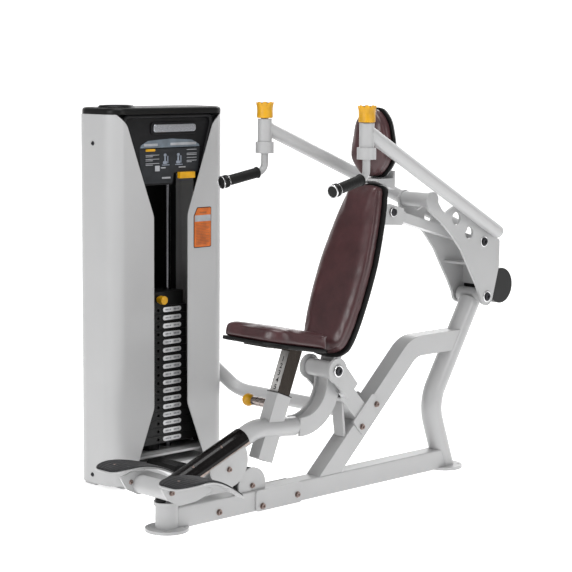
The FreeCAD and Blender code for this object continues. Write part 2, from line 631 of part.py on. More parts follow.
def tower_covers(brace):
    """Two white shrouds that wrap the tower's sides and leave a waisted opening in front."""
    shell = cut("tower_walls", tower_shell("tower_outside", "0", "tower_foot", "tower_top", "tower_y"),
                tower_shell("tower_inside", "shroud_wall", "0", "1400", "tower_y"))
    half = [("0", "mouth_low_half + 14"), ("mouth_bottom", "mouth_low_half"),
            ("waist_low - 30", "waist_half"), ("waist_high", "waist_half"),
            ("shoulder_high", "shoulder_half"), ("brow_high", "brow_half"),
            ("tower_top", "mouth_high_half - 26"), ("1400", "mouth_high_half - 26")]
    opening = plate("tower_opening", "YZ", symmetric(half), "tower_depth / 2",
                    ("-tower_front_x", "tower_y", "0"),
                    rounding=["0", "0", "40", "60", "0", "60", "0", "0"]
                    + ["0", "0", "60", "0", "60", "40", "0", "0"])
    open_shell = cut("tower_open_walls", shell, opening)
    front_half = box("front_half", ("400", "400", "1500"), ("-800", "tower_y - 400.5", "0"))
    rear_half = box("rear_half", ("400", "400", "1500"), ("-800", "tower_y + 0.5", "0"))
    node(overlap("shroud_near_side", open_shell, front_half), "shroud_front")
    node(cut("shroud_far_side", overlap("shroud_far_wall", open_shell, rear_half), brace),
         "shroud_rear")
    lid = tower_shell("lid", "-cap_overhang", "tower_top", "tower_top + cap_thickness", "tower_y")
    boss = disc("lid_boss", "XY", "60", "6",
                ("-tower_front_x - tower_depth / 2", "tower_y - 110", "tower_top + cap_thickness + 3"))
    node(join("top_cap_shape", lid, boss), "tower_top_cap")


def tower_frame():
    """The welded base, columns and top beam inside the tower, with the beam to the floor frame.
    Gives the column that the brace tube meets."""
    base = cut("base_shell", tower_box("base_rail", "10", "column_far", "column_inner", "0", "60"),
               tower_box("base_hollow", "18", "column_far - 8", "column_inner - 8", "-1", "52"))
    link_length = "tower_front_x + 20 - beam_width / 2 - splice_thickness - 0.2"
    link_beam = cut("link_beam_tube", box("link_beam", (link_length, "80", "beam_height"),
                                          ("-tower_front_x - 20", "beam_pulley_y - 20", "beam_base")),
                    box("link_beam_hollow", (link_length + " + 10", "72", "beam_height - 8"),
                        ("-tower_front_x - 24", "beam_pulley_y - 16", "beam_base + 4")))
    shelf = tower_box("stack_shelf", "30", "tower_depth - 12", "tower_width / 2 - 30", "88", "96")
    posts = []
    for number, side in enumerate(("-1", "1")):
        middle = "tower_y + (%s) * (column_inner + 15)" % side
        solid = box("column_%d" % number, ("column_far - column_near", "30", "tower_top - 4"),
                    ("-tower_front_x - column_far", middle + " - 15", "0"))
        hollow = box("column_hollow_%d" % number, ("column_far - column_near - 6", "24",
                                                   "tower_top - 60"),
                     ("3 - tower_front_x - column_far", middle + " - 12", "-4"))
        posts.append(cut("column_tube_%d" % number, solid, hollow))
    top = tower_box("top_beam", "tower_depth - 110", "tower_depth - 14", "tower_width / 2 - 27",
                    "tower_top - 46", "tower_top - 4")
    hanger = tower_box("pulley_hanger", "60", "110", "pulley_width / 2 + 9", "1180", "tower_top - 20")
    gap = tower_box("hanger_gap", "10", "140", "pulley_width / 2 + 3", "1100", "tower_top - 42")
    axle = rod("top_axle", "8", "pulley_width + 16", ("-tower_front_x - 83", "tower_y", "1204"), "Y")
    node(join("tower_weld", base, link_beam, shelf, *posts, top, cut("hanger", hanger, gap), axle),
         "tower_frame")
    node(pulley("top_wheel", "top_pulley_radius",
                ("-tower_front_x - 83", "tower_y", "1204"), "Y"), "top_pulley")
    cover = [("-40", "0"), ("40", "0"), ("28", "20"), ("-28", "20")]
    node(plate("cover_plate", "YZ", cover, "150",
               ("-tower_front_x + 76", "beam_pulley_y + 20", "beam_base + beam_height")), "belt_cover")
    return posts[1]


def tower_inside():
    """The black liner behind the stack, the guide rods and the header panel."""
    liner = cut("liner_walls", tower_box("liner_outside", "12", "tower_depth - 6", "213", "100",
                                         "tower_top - 50"),
                tower_box("liner_inside", "0", "tower_depth - 9", "210", "90", "tower_top - 40"),
                tower_box("liner_relief", "column_near - 3", "tower_depth - 2", "216", "90",
                          "tower_top - 40"))
    back = tower_box("liner_back", "tower_depth - 9", "tower_depth - 6", "190", "100",
                     "tower_top - 50")
    node(group("liner_parts", liner, back), "tower_liner")
    header = [("-126", "1050"), ("22", "1050"), ("31", "1089"), ("146", "1089"), ("205", "1250"),
              ("232", "tower_top - 8"), ("-232", "tower_top - 8"), ("-205", "1250")]
    node(plate("header", "YZ", header, "12", ("-tower_front_x - 26", "tower_y", "0")),
         "header_panel")
    rods = [rod("guide_rod_%s" % name, "rod_radius", "tower_top - 46 - 96",
                ("-tower_front_x - stack_recess - plate_depth / 2",
                 "tower_y + (%s) * rod_spacing" % side, "(tower_top - 46 + 96) / 2"), "Z")
            for name, side in (("front", "-1"), ("rear", "1"))]
    node(group("rods", *rods), "guide_rods")
    node(rod("cushion", "34", "stack_low - 96 - 0.3",
             ("-tower_front_x - stack_recess - plate_depth / 2", "tower_y",
              "(stack_low + 96) / 2 - 0.15"), "Z"), "stack_cushion")
    node(box("slider_tab", ("15", "69", "22"),
             ("-tower_front_x - 19.7", "tower_y + 46", "1070")), "increment_slider")


def stack_holes(name, low, high):
    """The two guide-rod holes and the stem hole, from one height to another."""
    centre = "-tower_front_x - stack_recess - plate_depth / 2"
    middle = "((%s) + (%s)) / 2" % (low, high)
    tall = "(%s) - (%s)" % (high, low)
    holes = [rod("%s_rod_%d" % (name, number), "rod_hole", tall,
                 (centre, "tower_y + (%s) * rod_spacing" % side, middle), "Z")
             for number, side in enumerate(("-1", "1"))]
    holes.append(rod(name + "_stem", "stem_hole", tall, (centre, "tower_y", middle), "Z"))
    return holes


def weight_stack():
    """Seventeen plates, the lower ones wider, each with a hole for the selector pin."""
    holes = join("stack_holes", *stack_holes("stack", "100", "700"))
    plates = []
    pin_holes = []
    near, far = "stack_recess", "stack_recess + plate_depth"
    for number in range(int(amount("plate_count"))):
        half = "wide_plate_half" if number < amount("wide_count") else "plate_half"
        low = "stack_low + %d * plate_pitch" % number
        middle = low + " + (plate_pitch - plate_gap) / 2"
        block = tower_box("plate_%d" % number, near, far, half, low, low + " + plate_pitch - plate_gap")
        pin_spot = ("-tower_front_x - stack_recess - plate_depth / 4", "tower_y", middle)
        pin_hole = rod("pin_hole_%d" % number, "pin_hole", "plate_depth / 2 + 2", pin_spot)
        pin_holes.append(pin_hole)
        plates.append(cut("weight_%d" % number, block, holes, pin_hole))
    node(group("plates", *plates), "weight_plates")

    low = "stack_low + plate_count * plate_pitch"
    centre = "-tower_front_x - stack_recess - plate_depth / 2"
    block = tower_box("head_block", near, far, "plate_half - 14", low, low + " + head_plate_height")
    rod_holes = stack_holes("head", "500", "800")[:2]
    stem = rod("selector_stem", "stem_radius", "plate_count * plate_pitch + head_plate_height + 40",
               (centre, "tower_y", "stack_low + 12 + (plate_count * plate_pitch"
                " + head_plate_height + 40) / 2"), "Z")
    pin_z = low + " + 24"
    pin_bore = rod("head_pin_hole", "pin_hole", "plate_depth / 2 + 22",
                   ("-tower_front_x - stack_recess - plate_depth / 4 - 10", "tower_y", pin_z))
    solid = join("head_weld", block, stem)
    node(cut("head_bored", solid, *rod_holes, pin_bore, *pin_holes), "head_plate")

    shank = rod("pin_shank", "pin_radius", "plate_depth / 2 + 30",
                ("-tower_front_x - stack_recess - plate_depth / 4 + 8", "tower_y", pin_z))
    knob = rod("pin_knob", "15", "20", ("-tower_front_x - stack_recess + 24", "tower_y", pin_z))
    collar = rod("pin_collar", "11", "12", ("-tower_front_x - stack_recess + 8", "tower_y", pin_z))
    node(join("pin_shape", shank, knob, collar), "selector_pin")


# ---- press arms ---------------------------------------------------------------------------

def press_arms():
    front = Vector(*[amount("arm_front_" + letter) for letter in "xyz"])
    tail = Vector(*[amount("arm_tail_" + letter) for letter in "xyz"])
    direction = tail - front
    start = ("arm_front_x + 6.2", "arm_front_y - 34", "arm_front_z + 15.3")
    length = ("sqrt((arm_front_x - arm_tail_x)^2 + (arm_front_y - arm_tail_y)^2"
              " + (arm_front_z - arm_tail_z)^2) + 37.8")
    envelope = along("arm_solid", "arm_radius", start, direction, length)
    end = doc.addObject("Part::Cone", "arm_end")
    bind(end, "Radius1", "arm_radius - 0.2")
    bind(end, "Radius2", "arm_radius * 0.6")
    bind(end, "Height", "arm_radius * 0.5")
    place(end, ("arm_tail_x", "arm_tail_y", "arm_tail_z"), Rotation(Vector(0, 0, 1), direction))
    hollow = along("arm_hollow", "arm_radius - arm_wall", start, direction, length)
    barrel_height = "barrel_high - barrel_low"
    barrel_spot = ("grip_x", "grip_y", "(barrel_high + barrel_low) / 2")
    barrel = rod("barrel_tube", "barrel_radius", barrel_height, barrel_spot, "Z")
    collar = rod("barrel_collar", "collar_radius", "collar_height",
                 ("grip_x", "grip_y", "barrel_low + collar_height / 2"), "Z")
    bore = rod("barrel_bore", "handle_radius + running_gap", barrel_height + " + 4", barrel_spot, "Z")
    tube = cut("arm_tube", join("arm_outside", envelope, end), hollow)
    left = cut("arm_bored", join("arm_weld", tube, barrel, collar), bore)
    node(left, "arm_left")
    node(mirror("arm_mirrored", left), "arm_right")

    outline = [("1136", "1002"), ("1150", "960"), ("1229", "909"), ("1282", "862"), ("1337", "803"),
               ("1370", "751"), ("1421", "674"), ("1450", "622"), ("1514", "618"), ("1548", "735"),
               ("1549", "832"), ("1480", "862"), ("1440", "884"), ("1386", "935"), ("1340", "966"),
               ("1290", "969"), ("1235", "944"), ("1202", "985")]
    rounding = ["0", "20", "60", "80", "80", "60", "60", "0", "0", "60",
                "12", "0", "0", "20", "20", "20", "20", "0"]
    holes = [("1302", "924", "24"), ("1375", "868", "22")]
    side = "side_plate_x"
    blade = plate("side_blade", "YZ", outline, "side_plate_thickness", (side, "0", "0"),
                  holes=holes, rounding=rounding)
    lobe = disc("side_lobe", "YZ", "lobe_radius", "side_plate_thickness", (side, "lobe_y", "lobe_z"))
    foot = disc("side_foot", "YZ", "34", "side_plate_thickness", (side, "arm_pivot_y", "arm_pivot_z"))
    blades = pair("side_blades", join("side_plate", blade, lobe, foot))
    inner = "2 * side_plate_x - side_plate_thickness"
    lobe_tube = ring("lobe_tube", "lobe_radius - 4", "lobe_radius - 8", inner,
                     ("0", "lobe_y", "lobe_z"))
    upper_web = plate("upper_web", "YZ", rectangle("132", "8"), inner, ("0", "1456", "748"),
                      Rotation(Vector(1, 0, 0), -3))
    rear_web = plate("rear_web", "YZ", rectangle("8", "76"), inner, ("0", "1504", "702"))
    weld = join("bracket_weld", blades, lobe_tube, upper_web, rear_web)
    bores = [rod("arm_pivot_bore", "shaft_radius", "200", ("0", "arm_pivot_y", "arm_pivot_z")),
             rod("arm_link_bore", "link_bolt_radius", "200", ("0", "link_rear_y", "link_rear_z"))]
    node(cut("bracket_bored", weld, *bores, pair("arm_envelopes", envelope)), "arm_bracket")
    node(rod("weight_disc", "weight_radius", "weight_length", ("0", "weight_y", "weight_z")),
         "counterweight")

    reach = "side_plate_x + side_plate_thickness / 2"
    shaft = rod("arm_shaft", "shaft_radius", "2 * (%s)" % reach, ("0", "arm_pivot_y", "arm_pivot_z"))
    pin = rod("link_rear_pin", "link_bolt_radius", "2 * (%s)" % reach,
              ("0", "link_rear_y", "link_rear_z"))
    caps = [pair("cap_pair_%d" % number, bolt("arm_cap_%d" % number, "13", reach, y, z, 1))
            for number, (y, z) in enumerate((("arm_pivot_y", "arm_pivot_z"),
                                             ("link_rear_y", "link_rear_z")))]
    node(group("arm_pin_set", shaft, pin, *caps), "arm_shafts")


def link():
    """The channel from the arms to the carriage. Its rear eye has room round the pin."""
    dy, dz = "(link_rear_y - link_front_y)", "(link_rear_z - link_front_z)"
    run = Vector(0, amount(dy), amount(dz))
    turn = Rotation(Vector(0, 1, 0), run)
    length = "sqrt(%s^2 + %s^2)" % (dy, dz)
    front = ("0", "link_front_y", "link_front_z")
    rear = ("0", "link_rear_y", "link_rear_z")
    bar = [("14", "-link_depth / 2"), (length + " - 16", "-link_depth / 2"),
           (length + " - 16", "link_depth / 2"), ("14", "link_depth / 2")]
    trough = [("26", "link_wall - link_depth / 2"), (length + " - 30", "link_wall - link_depth / 2"),
              (length + " - 30", "link_depth"), ("26", "link_depth")]
    channel = cut("link_channel", plate("link_bar", "YZ", bar, "link_width", front, turn),
                  plate("link_trough", "YZ", trough, "link_width - 2 * link_wall", front, turn))
    eyes = [rod("link_eye_front", "eye_radius", "link_width", front),
            rod("link_eye_rear", "eye_radius + 3", "link_width", rear)]
    bores = [rod("link_bore_front", "link_bolt_radius + running_gap", "link_width + 2", front),
             rod("link_bore_rear", "link_bolt_radius + link_clearance", "link_width + 2", rear)]
    node(cut("link_bored", join("link_weld", channel, *eyes), *bores), "press_link")


def handle(side):
    """One swivelling handle: its bent tube, its rubber grip and its sprung knob."""
    sign = "" if side == "left" else "-"
    splay = amount("handle_splay") if side == "left" else -amount("handle_splay")
    turn = Rotation(Vector(0, 0, 1), splay - 90)
    x = sign + "grip_x"
    drop = amount("handle_drop")
    home = (x, "grip_y", "handle_corner_z")
    reach = "(grip_start + grip_length + 4)"
    route = [("0", "knob_low + 20 - handle_corner_z"), ("0", "0"),
             (reach + " * drop_cos", "-%s * drop_sin" % reach)]
    tube = sweep("handle_tube_" + side, "XZ", route, ["handle_bend"],
                 round_section("handle_radius", "3"), home, turn)
    level = Vector(math.cos(math.radians(drop)), 0, -math.sin(math.radians(drop)))
    direction = turn.multVec(level)
    corner = Vector(amount(x), amount("grip_y"), amount("handle_corner_z"))

    def sleeve(name, outer, inner, first, length):
        """A round sleeve on the grip's own axis."""
        spot = ["%f" % value for value in corner + direction * amount(first)]
        solid = along(name + "_outside", outer, spot, direction, length)
        return cut(name, solid, along(name + "_bore", inner, spot, direction, length))

    end_cap = sleeve("end_cap_" + side, "cap_radius", "handle_radius",
                     "grip_start + grip_length - cap_length + 4", "cap_length")
    node(group("handle_set_" + side, tube, end_cap), "handle_" + side)
    node(sleeve("rubber_" + side, "grip_radius", "handle_radius", "grip_start",
                "grip_length - cap_length"), "hand_grip_" + side)

    skirt = doc.addObject("Part::Cone", "knob_skirt_" + side)
    bind(skirt, "Radius1", "knob_radius")
    bind(skirt, "Radius2", "knob_flare")
    bind(skirt, "Height", "knob_height * 0.6")
    place(skirt, (x, "grip_y", "knob_low"))
    crown = rod("knob_crown_" + side, "knob_flare", "knob_height * 0.4",
                (x, "grip_y", "knob_low + knob_height * 0.8"), "Z")
    hollow = rod("knob_hollow_" + side, "handle_radius + 0.3", "knob_height - 10",
                 (x, "grip_y", "knob_low + (knob_height - 10) / 2 - 0.5"), "Z")
    flutes = []
    for number in range(8):
        angle = math.radians(45 * number)
        flutes.append(rod("knob_flute_%s_%d" % (side, number), "4", "knob_height * 0.6",
                          ("%s + (knob_flare + 2.5) * %f" % (x, math.cos(angle)),
                           "grip_y + (knob_flare + 2.5) * %f" % math.sin(angle),
                           "knob_low + knob_height * 0.85"), "Z"))
    node(cut("knob_cut_" + side, join("knob_shape_" + side, skirt, crown), hollow, *flutes),
         "knob_" + side)


# ---- rocking carriage ---------------------------------------------------------------------

def carriage_tubes():
    tube = sweep("front_tube", "YZ", [("tube_front_y", "tube_front_z"),
                                      ("tube_bend_y", "tube_bend_z"),
                                      ("box_start_y", "box_start_z")],
                 ["tube_bend"], round_section("tube_radius", "tube_wall"))
    cross = ring("cross_tube", "cross_tube_radius", "cross_tube_radius - 4", "cross_tube_length",
                 ("0", "cross_tube_y", "cross_tube_z"))
    cross_solid = rod("cross_solid", "cross_tube_radius", "cross_tube_length",
                      ("0", "cross_tube_y", "cross_tube_z"))
    ear = [("-112", "171"), ("-85", "128"), ("-35", "103"), ("30", "106"), ("88", "122"),
           ("100", "136"), ("58", "156"), ("0", "177"), ("-60", "183")]
    ears = pair("ears", plate("ear", "YZ", ear, "ear_thickness",
                              ("(cross_tube_length + ear_thickness) / 2", "0", "0"),
                              rounding=["6", "20", "30", "30", "0", "0", "0", "0", "0"]))
    node(join("foot_carrier_weld", cross, ears), "foot_carrier")
    sleeve_turn = Rotation(Vector(1, 0, 0), -amount("post_tilt"))
    sleeve_spot = ("0", "sleeve_top_y", "sleeve_top_z")
    sleeve_solid = box("sleeve_solid", ("sleeve_width", "sleeve_depth", "sleeve_length"),
                       sleeve_corner("sleeve_width", "sleeve_depth", "-sleeve_length"), sleeve_turn)
    node(cut("front_tube_coped", tube, cross_solid, sleeve_solid), "carriage_tube")

    sleeve_bore = box("sleeve_bore", ("seat_post_width + 0.4", "seat_post_depth + 0.4", "400"),
                      sleeve_corner("(seat_post_width + 0.4)", "(seat_post_depth + 0.4)", "-300"),
                      sleeve_turn)
    pin_x = "-(sleeve_width / 2 + pin_barrel_length / 2)"
    pin_spot = pull_pin_spot(pin_x)
    barrel = ring("pin_barrel", "pin_barrel_radius", "pin_rod_radius + running_gap",
                  "pin_barrel_length", pin_spot)
    through = rod("pin_through", "pin_rod_radius + running_gap", "60",
                  pull_pin_spot("-sleeve_width / 2"))
    lip = box("sleeve_lip", ("sleeve_width + 4", "sleeve_depth + 4", "5"),
              sleeve_corner("(sleeve_width + 4)", "(sleeve_depth + 4)", "-1"), sleeve_turn)
    node(cut("sleeve_bored", join("sleeve_weld", sleeve_solid, barrel, lip), sleeve_bore, through),
         "seat_sleeve")

    spine_turn = Rotation(Vector(1, 0, 0), 90 - amount("recline"))
    spine = plate("spine_solid", "XY", rectangle("spine_width", "spine_high - spine_low"),
                  "spine_depth", back_spot("(spine_high + spine_low) / 2",
                                           "62 + spine_depth / 2"), spine_turn)
    spine_hollow = plate("spine_hollow", "XY",
                         rectangle("spine_width - 2 * spine_wall", "spine_high - spine_low - 12"),
                         "spine_depth - 2 * spine_wall",
                         back_spot("(spine_high + spine_low) / 2", "62 + spine_depth / 2"),
                         spine_turn)
    pivot = ("0", "pivot_y", "pivot_z")
    pivot_solid = rod("pivot_solid", "pivot_tube_radius", "pivot_tube_length", pivot)
    pivot_bore = rod("pivot_bore", "shaft_radius + running_gap", "pivot_tube_length + 2", pivot)
    box_part = sweep("curved_box", "YZ", [("box_start_y", "box_start_z"),
                                          ("box_bend_y", "box_bend_z"), ("box_bend_y", "box_top_z")],
                     ["box_bend"],
                     flanged_section("box_width", "box_depth", "flange_thickness", "web_recess"))
    weld = join("carriage_box_weld", cut("curved_box_coped", box_part, spine), pivot_solid)
    bored = cut("carriage_box_bored", weld, pivot_bore)
    weld.Refine = False
    bored.Refine = False
    node(bored, "carriage_box")

    ear_y = "(fork_gap - 22) / 2 - 4"
    clevis = [("938", "990"), ("975", "991"), ("1046", "972"), ("1040", "914"), ("932", "922")]
    clevis_sides = pair("clevis_sides", plate("clevis_side", "YZ", clevis, "8", (ear_y, "0", "0"),
                                              rounding=["0", "0", "8", "8", "0"]))
    clevis_base = plate("clevis_base", "XY", rectangle("2 * (%s) + 8" % ear_y, "72"), "8",
                        back_spot("362", "62 + spine_depth + 4"), spine_turn)
    frame = join("back_frame_weld", cut("spine_tube", spine, spine_hollow, pivot_solid),
                 cut("clevis_plates", clevis_sides, spine), clevis_base)
    node(cut("back_frame_bored", frame,
             rod("clevis_bore", "link_bolt_radius", "200", ("0", "link_front_y", "link_front_z"))),
         "back_frame")
    return spine


def sleeve_corner(width, depth, height):
    """The lowest corner of a block in the seat sleeve's tilted frame."""
    half, up = "(%s) / 2" % depth, "(%s)" % height
    return ("-(%s) / 2" % width, "sleeve_top_y - %s * post_cos + %s * post_sin" % (half, up),
            "sleeve_top_z + %s * post_sin + %s * post_cos" % (half, up))


def pull_pin_spot(x, up="pin_height"):
    """A point on the pull pin's axis, or that far up the seat post from the sleeve's top."""
    return (x, "sleeve_top_y + pin_setback * post_cos + (%s) * post_sin" % up,
            "sleeve_top_z - pin_setback * post_sin + (%s) * post_cos" % up)


def back_spot(up, behind):
    """A point in the backrest's frame: up along it, and behind the pad's front face."""
    return ("0", "back_y + (%s) * lean_sin + (%s) * lean_cos" % (up, behind),
            "back_z + (%s) * lean_cos - (%s) * lean_sin" % (up, behind))


def tube_spot(forward, up, x="0"):
    """A point in the frame of the carriage's front tube."""
    return (x, "tube_front_y + (%s) * rise_cos - (%s) * rise_sin" % (forward, up),
            "tube_front_z + (%s) * rise_sin + (%s) * rise_cos" % (forward, up))


def carriage_details(spine):
    direction = Vector(0, amount("rise_cos"), amount("rise_sin"))
    tilt = Rotation(Vector(1, 0, 0), math.degrees(math.atan2(direction.z, direction.y)))
    start = tube_spot("cover_start", "0")
    cover = cut("cover_ring", along("cover_outside", "tube_radius + 0.3 + cover_thickness", start,
                                    direction, "cover_length"),
                along("cover_inside", "tube_radius + 0.3", start, direction, "cover_length"))
    under = box("cover_under", ("120", "500", "100"), tube_spot("-60", "-106", "-60"), tilt)
    node(cut("cover_half", cover, under), "tube_cover")

    side = "tube_radius + disc_thickness / 2"
    cheek = disc("carriage_disc", "YZ", "disc_radius", "disc_thickness", (side, "disc_y", "disc_z"))
    above = box("above_tube", ("200", "700", "300"), tube_spot("-100", "-8", "-100"), tilt)
    axle = rod("carriage_axle", "8", "2 * (%s)" % side,
               ("0", "carriage_pulley_y", "carriage_pulley_z"))
    node(join("pulley_plate_weld", pair("carriage_cheeks", cut("carriage_cheek", cheek, above)),
              axle), "carriage_pulley_plates")
    node(pulley("carriage_wheel", "carriage_pulley_radius",
                ("0", "carriage_pulley_y", "carriage_pulley_z"), "X"), "carriage_pulley")

    neck = [("896", "1074"), ("944", "1056"), ("990", "1040"), ("991", "1106"), ("984", "1106"),
            ("984", "1081"), ("902", "1081")]
    tab = plate("head_tab", "YZ", [("984.5", "1040"), ("991", "1040"), ("991", "1206"),
                                   ("984.5", "1206")], "54")
    node(cut("neck_cut", join("neck_weld", plate("neck", "YZ", neck, "108"), tab), spine),
         "neck_bracket")


def rest_height(y, drop):
    """The foot rest's surface at a distance along it: a long wave that curls down at the back."""
    return "195 - 96 * ((%f + 60) / 258)^2 - (%s)" % (y, drop)


def foot_rests():
    """Two sculpted foot plates with a ribbed mat on each."""
    first, last, steps = -135.0, 198.0, 8
    stations = [first + (last - first) * number / steps for number in range(steps + 1)]
    plan = [("104", "-132"), ("186", "-138"), ("220", "-112"), ("226", "-62"), ("204", "4"),
            ("180", "70"), ("164", "130"), ("156", "192"), ("120", "194"), ("106", "130"),
            ("96", "70"), ("88", "4"), ("84", "-62"), ("86", "-112")]
    rounding = ["20", "24", "24", "24", "40", "40", "40", "12", "12", "40", "40", "40", "24", "24"]

    def layer(name, top, bottom):
        """One sheet of the foot rest between two depths below the wave."""
        upper = [("%f" % y, rest_height(y, top)) for y in stations]
        lower = [("%f" % y, rest_height(y, bottom)) for y in reversed(stations)]
        sheet_solid = plate(name + "_sheet", "YZ", upper + lower, "200", ("155", "0", "0"))
        edge = plate(name + "_edge", "XY", plan, "300", ("0", "0", "150"), rounding=rounding)
        return pair(name, overlap(name + "_shape", sheet_solid, edge))

    node(layer("rest", "0", "rest_thickness"), "foot_plates")
    node(layer("mat", "-mat_thickness", "0"), "foot_mats")


def seat():
    post_turn = Rotation(Vector(1, 0, 0), -amount("post_tilt"))
    seat_turn = Rotation(Vector(1, 0, 0), -amount("seat_tilt"))

    def seat_spot(below):
        """The middle of a layer of the seat, below its top face."""
        return ("0", "seat_y - (%s) * seat_sin" % below, "seat_z - (%s) * seat_cos" % below)

    outline = rectangle("seat_width", "seat_length")
    corners = ["70", "70", "26", "26"]
    node(plate("seat_cushion", "XY", outline, "seat_pad_thickness",
               seat_spot("seat_pad_thickness / 2"), seat_turn, rounding=corners), "seat_pad")
    board_middle = "seat_pad_thickness + seat_board_thickness / 2"
    node(plate("seat_base", "XY", rectangle("seat_width + 6", "seat_length + 6"),
               "seat_board_thickness", seat_spot(board_middle), seat_turn, rounding=corners),
         "seat_board")
    height = "seat_post_high - seat_post_low"
    post = box("post_solid", ("seat_post_width", "seat_post_depth", height),
               sleeve_corner("seat_post_width", "seat_post_depth", "seat_post_low"), post_turn)
    hollow = box("post_hollow", ("seat_post_width - 2 * seat_post_wall",
                                 "seat_post_depth - 2 * seat_post_wall", height + " + 40"),
                 sleeve_corner("(seat_post_width - 2 * seat_post_wall)",
                               "(seat_post_depth - 2 * seat_post_wall)", "seat_post_low - 20"),
                 post_turn)
    bracket = plate("seat_bracket", "XY", rectangle("110", "150"), "6",
                    seat_spot("seat_pad_thickness + seat_board_thickness + 3"), seat_turn)
    above = plate("seat_space", "XY", rectangle("400", "400"), "200",
                  seat_spot("seat_pad_thickness + seat_board_thickness - 100"), seat_turn)
    holes = [rod("post_hole_%d" % number, "pin_rod_radius + 0.5", "seat_post_width / 2",
                 pull_pin_spot("-seat_post_width / 2", "pin_height + hole_pitch * %d" % number))
             for number in range(int(amount("hole_count")))]
    node(cut("post_cut", join("post_weld", cut("post_tube", post, hollow), bracket), above, *holes),
         "seat_post")
    reach = "sleeve_width / 2 + pin_barrel_length + 10"
    pin = rod("pull_rod", "pin_rod_radius", "(%s) - seat_post_width / 2 - 0.4" % reach,
              pull_pin_spot("-((%s) + seat_post_width / 2 + 0.4) / 2" % reach))
    ball = doc.addObject("Part::Sphere", "pull_ball")
    bind(ball, "Radius", "ball_radius")
    place(ball, pull_pin_spot("-(sleeve_width / 2 + pin_barrel_length + ball_radius + 0.2)"),
          ALONG["X"])
    node(join("pull_pin_shape", pin, ball), "pull_pin")


def rests():
    """The backrest and headrest: boards and cushions in the spine's frame."""
    back_turn = Rotation(Vector(1, 0, 0), 90 - amount("recline"))
    half = [(-133, 40), (-114, 82), (-85, 100), (-29, 111), (40, 117), (110, 119), (200, 117),
            (308, 104), (378, 92), (430, 79), (470, 58)]
    node(plate("back_cushion", "XY", symmetric(half), "back_pad_thickness",
               back_spot("0", "back_pad_thickness / 2"), back_turn), "back_pad")
    wider = [(height + (4 if height > 0 else -4), width + 4) for height, width in half]
    node(plate("back_base", "XY", symmetric(wider), "back_board_thickness",
               back_spot("0", "back_pad_thickness + back_board_thickness / 2"), back_turn),
         "back_board")
    head_turn = Rotation(Vector(1, 0, 0), 90)
    half = [(-102, 30), (-88, 50), (-66, 70), (-37, 85), (0, 84), (31, 79), (80, 66), (108, 47),
            (128, 20)]
    node(plate("head_cushion", "XY", symmetric(half), "head_pad_thickness",
               ("0", "head_y + head_pad_thickness / 2", "head_z"), head_turn), "head_pad")
    wider = [(height + (3 if height > 0 else -3), width + 3) for height, width in half]
    node(plate("head_back", "XY", symmetric(wider), "head_shell_thickness",
               ("0", "head_y + head_pad_thickness + head_shell_thickness / 2 + 0.5", "head_z"),
               head_turn), "head_shell")


def bolts():
    near, splice = "beam_width / 2", "beam_width / 2 + splice_thickness"
    lean_y, lean_z = "pivot_y + (%s)", "pivot_z + (%s)"
    spots = [("8", splice, "383", "20"), ("8", splice, "545", "32"), ("8", near, "195", "30"),
             ("7", "pulley_width / 2 + pulley_gap + splice_thickness", "beam_pulley_y",
              "beam_pulley_z"),
             ("8", near + " + saddle_thickness + 0.2", lean_y % "230", lean_z % "-149"),
             ("8", near + " + saddle_thickness + 0.2", lean_y % "158", lean_z % "-219")]
    both = []
    for radius, x, y, z in spots:
        both.append((radius, x, y, z, 1))
        both.append((radius, "-(%s)" % x, y, z, -1))
    bolt_set("frame_bolts", both)
    spots = [("7", "tube_radius + disc_thickness", "disc_y", "disc_z - 22"),
             ("7", "cross_tube_length / 2 + ear_thickness", "-69", "150")]
    both = []
    for radius, x, y, z in spots:
        both.append((radius, x, y, z, 1))
        both.append((radius, "-(%s)" % x, y, z, -1))
    side = "(fork_gap - 22) / 2"
    both.append(("12", side, "link_front_y", "link_front_z", 1))
    both.append(("12", "-(%s)" % side, "link_front_y", "link_front_z", -1))
    heads = [bolt("carriage_bolt_%d" % number, *spot) for number, spot in enumerate(both)]
    pin = rod("link_front_pin", "link_bolt_radius", "fork_gap - 22",
              ("0", "link_front_y", "link_front_z"))
    node(group("carriage_bolt_set", pin, *heads), "carriage_bolts")


def check_and_write():
    """Stop if any object failed; then write each sub-part's solid to its own file."""
    doc.recompute()
    for thing in doc.Objects:
        if "Invalid" in thing.State or "Error" in thing.State:
            raise RuntimeError("%s failed: %s" % (thing.Name, thing.State))
    os.makedirs("parts", exist_ok=True)
    for thing in nodes:
        if thing.Shape.isNull() or not thing.Shape.isValid() or thing.Shape.Volume <= 0:
            raise RuntimeError("%s has no sound shape" % thing.Label)
        thing.Shape.exportStep("parts/%s.step" % thing.Label)
    print(len(nodes), "sub-parts written")


floor_frame()
pivot_yoke()
beam_pulley_set()
tower_covers(brace_tube(tower_frame()))
tower_inside()
weight_stack()
press_arms()
link()
handle("left")
handle("right")
carriage_details(carriage_tubes())
foot_rests()
seat()
rests()
bolts()
check_and_write()
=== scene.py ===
import bpy
import bmesh
import json
import math
from mathutils import Matrix, Vector


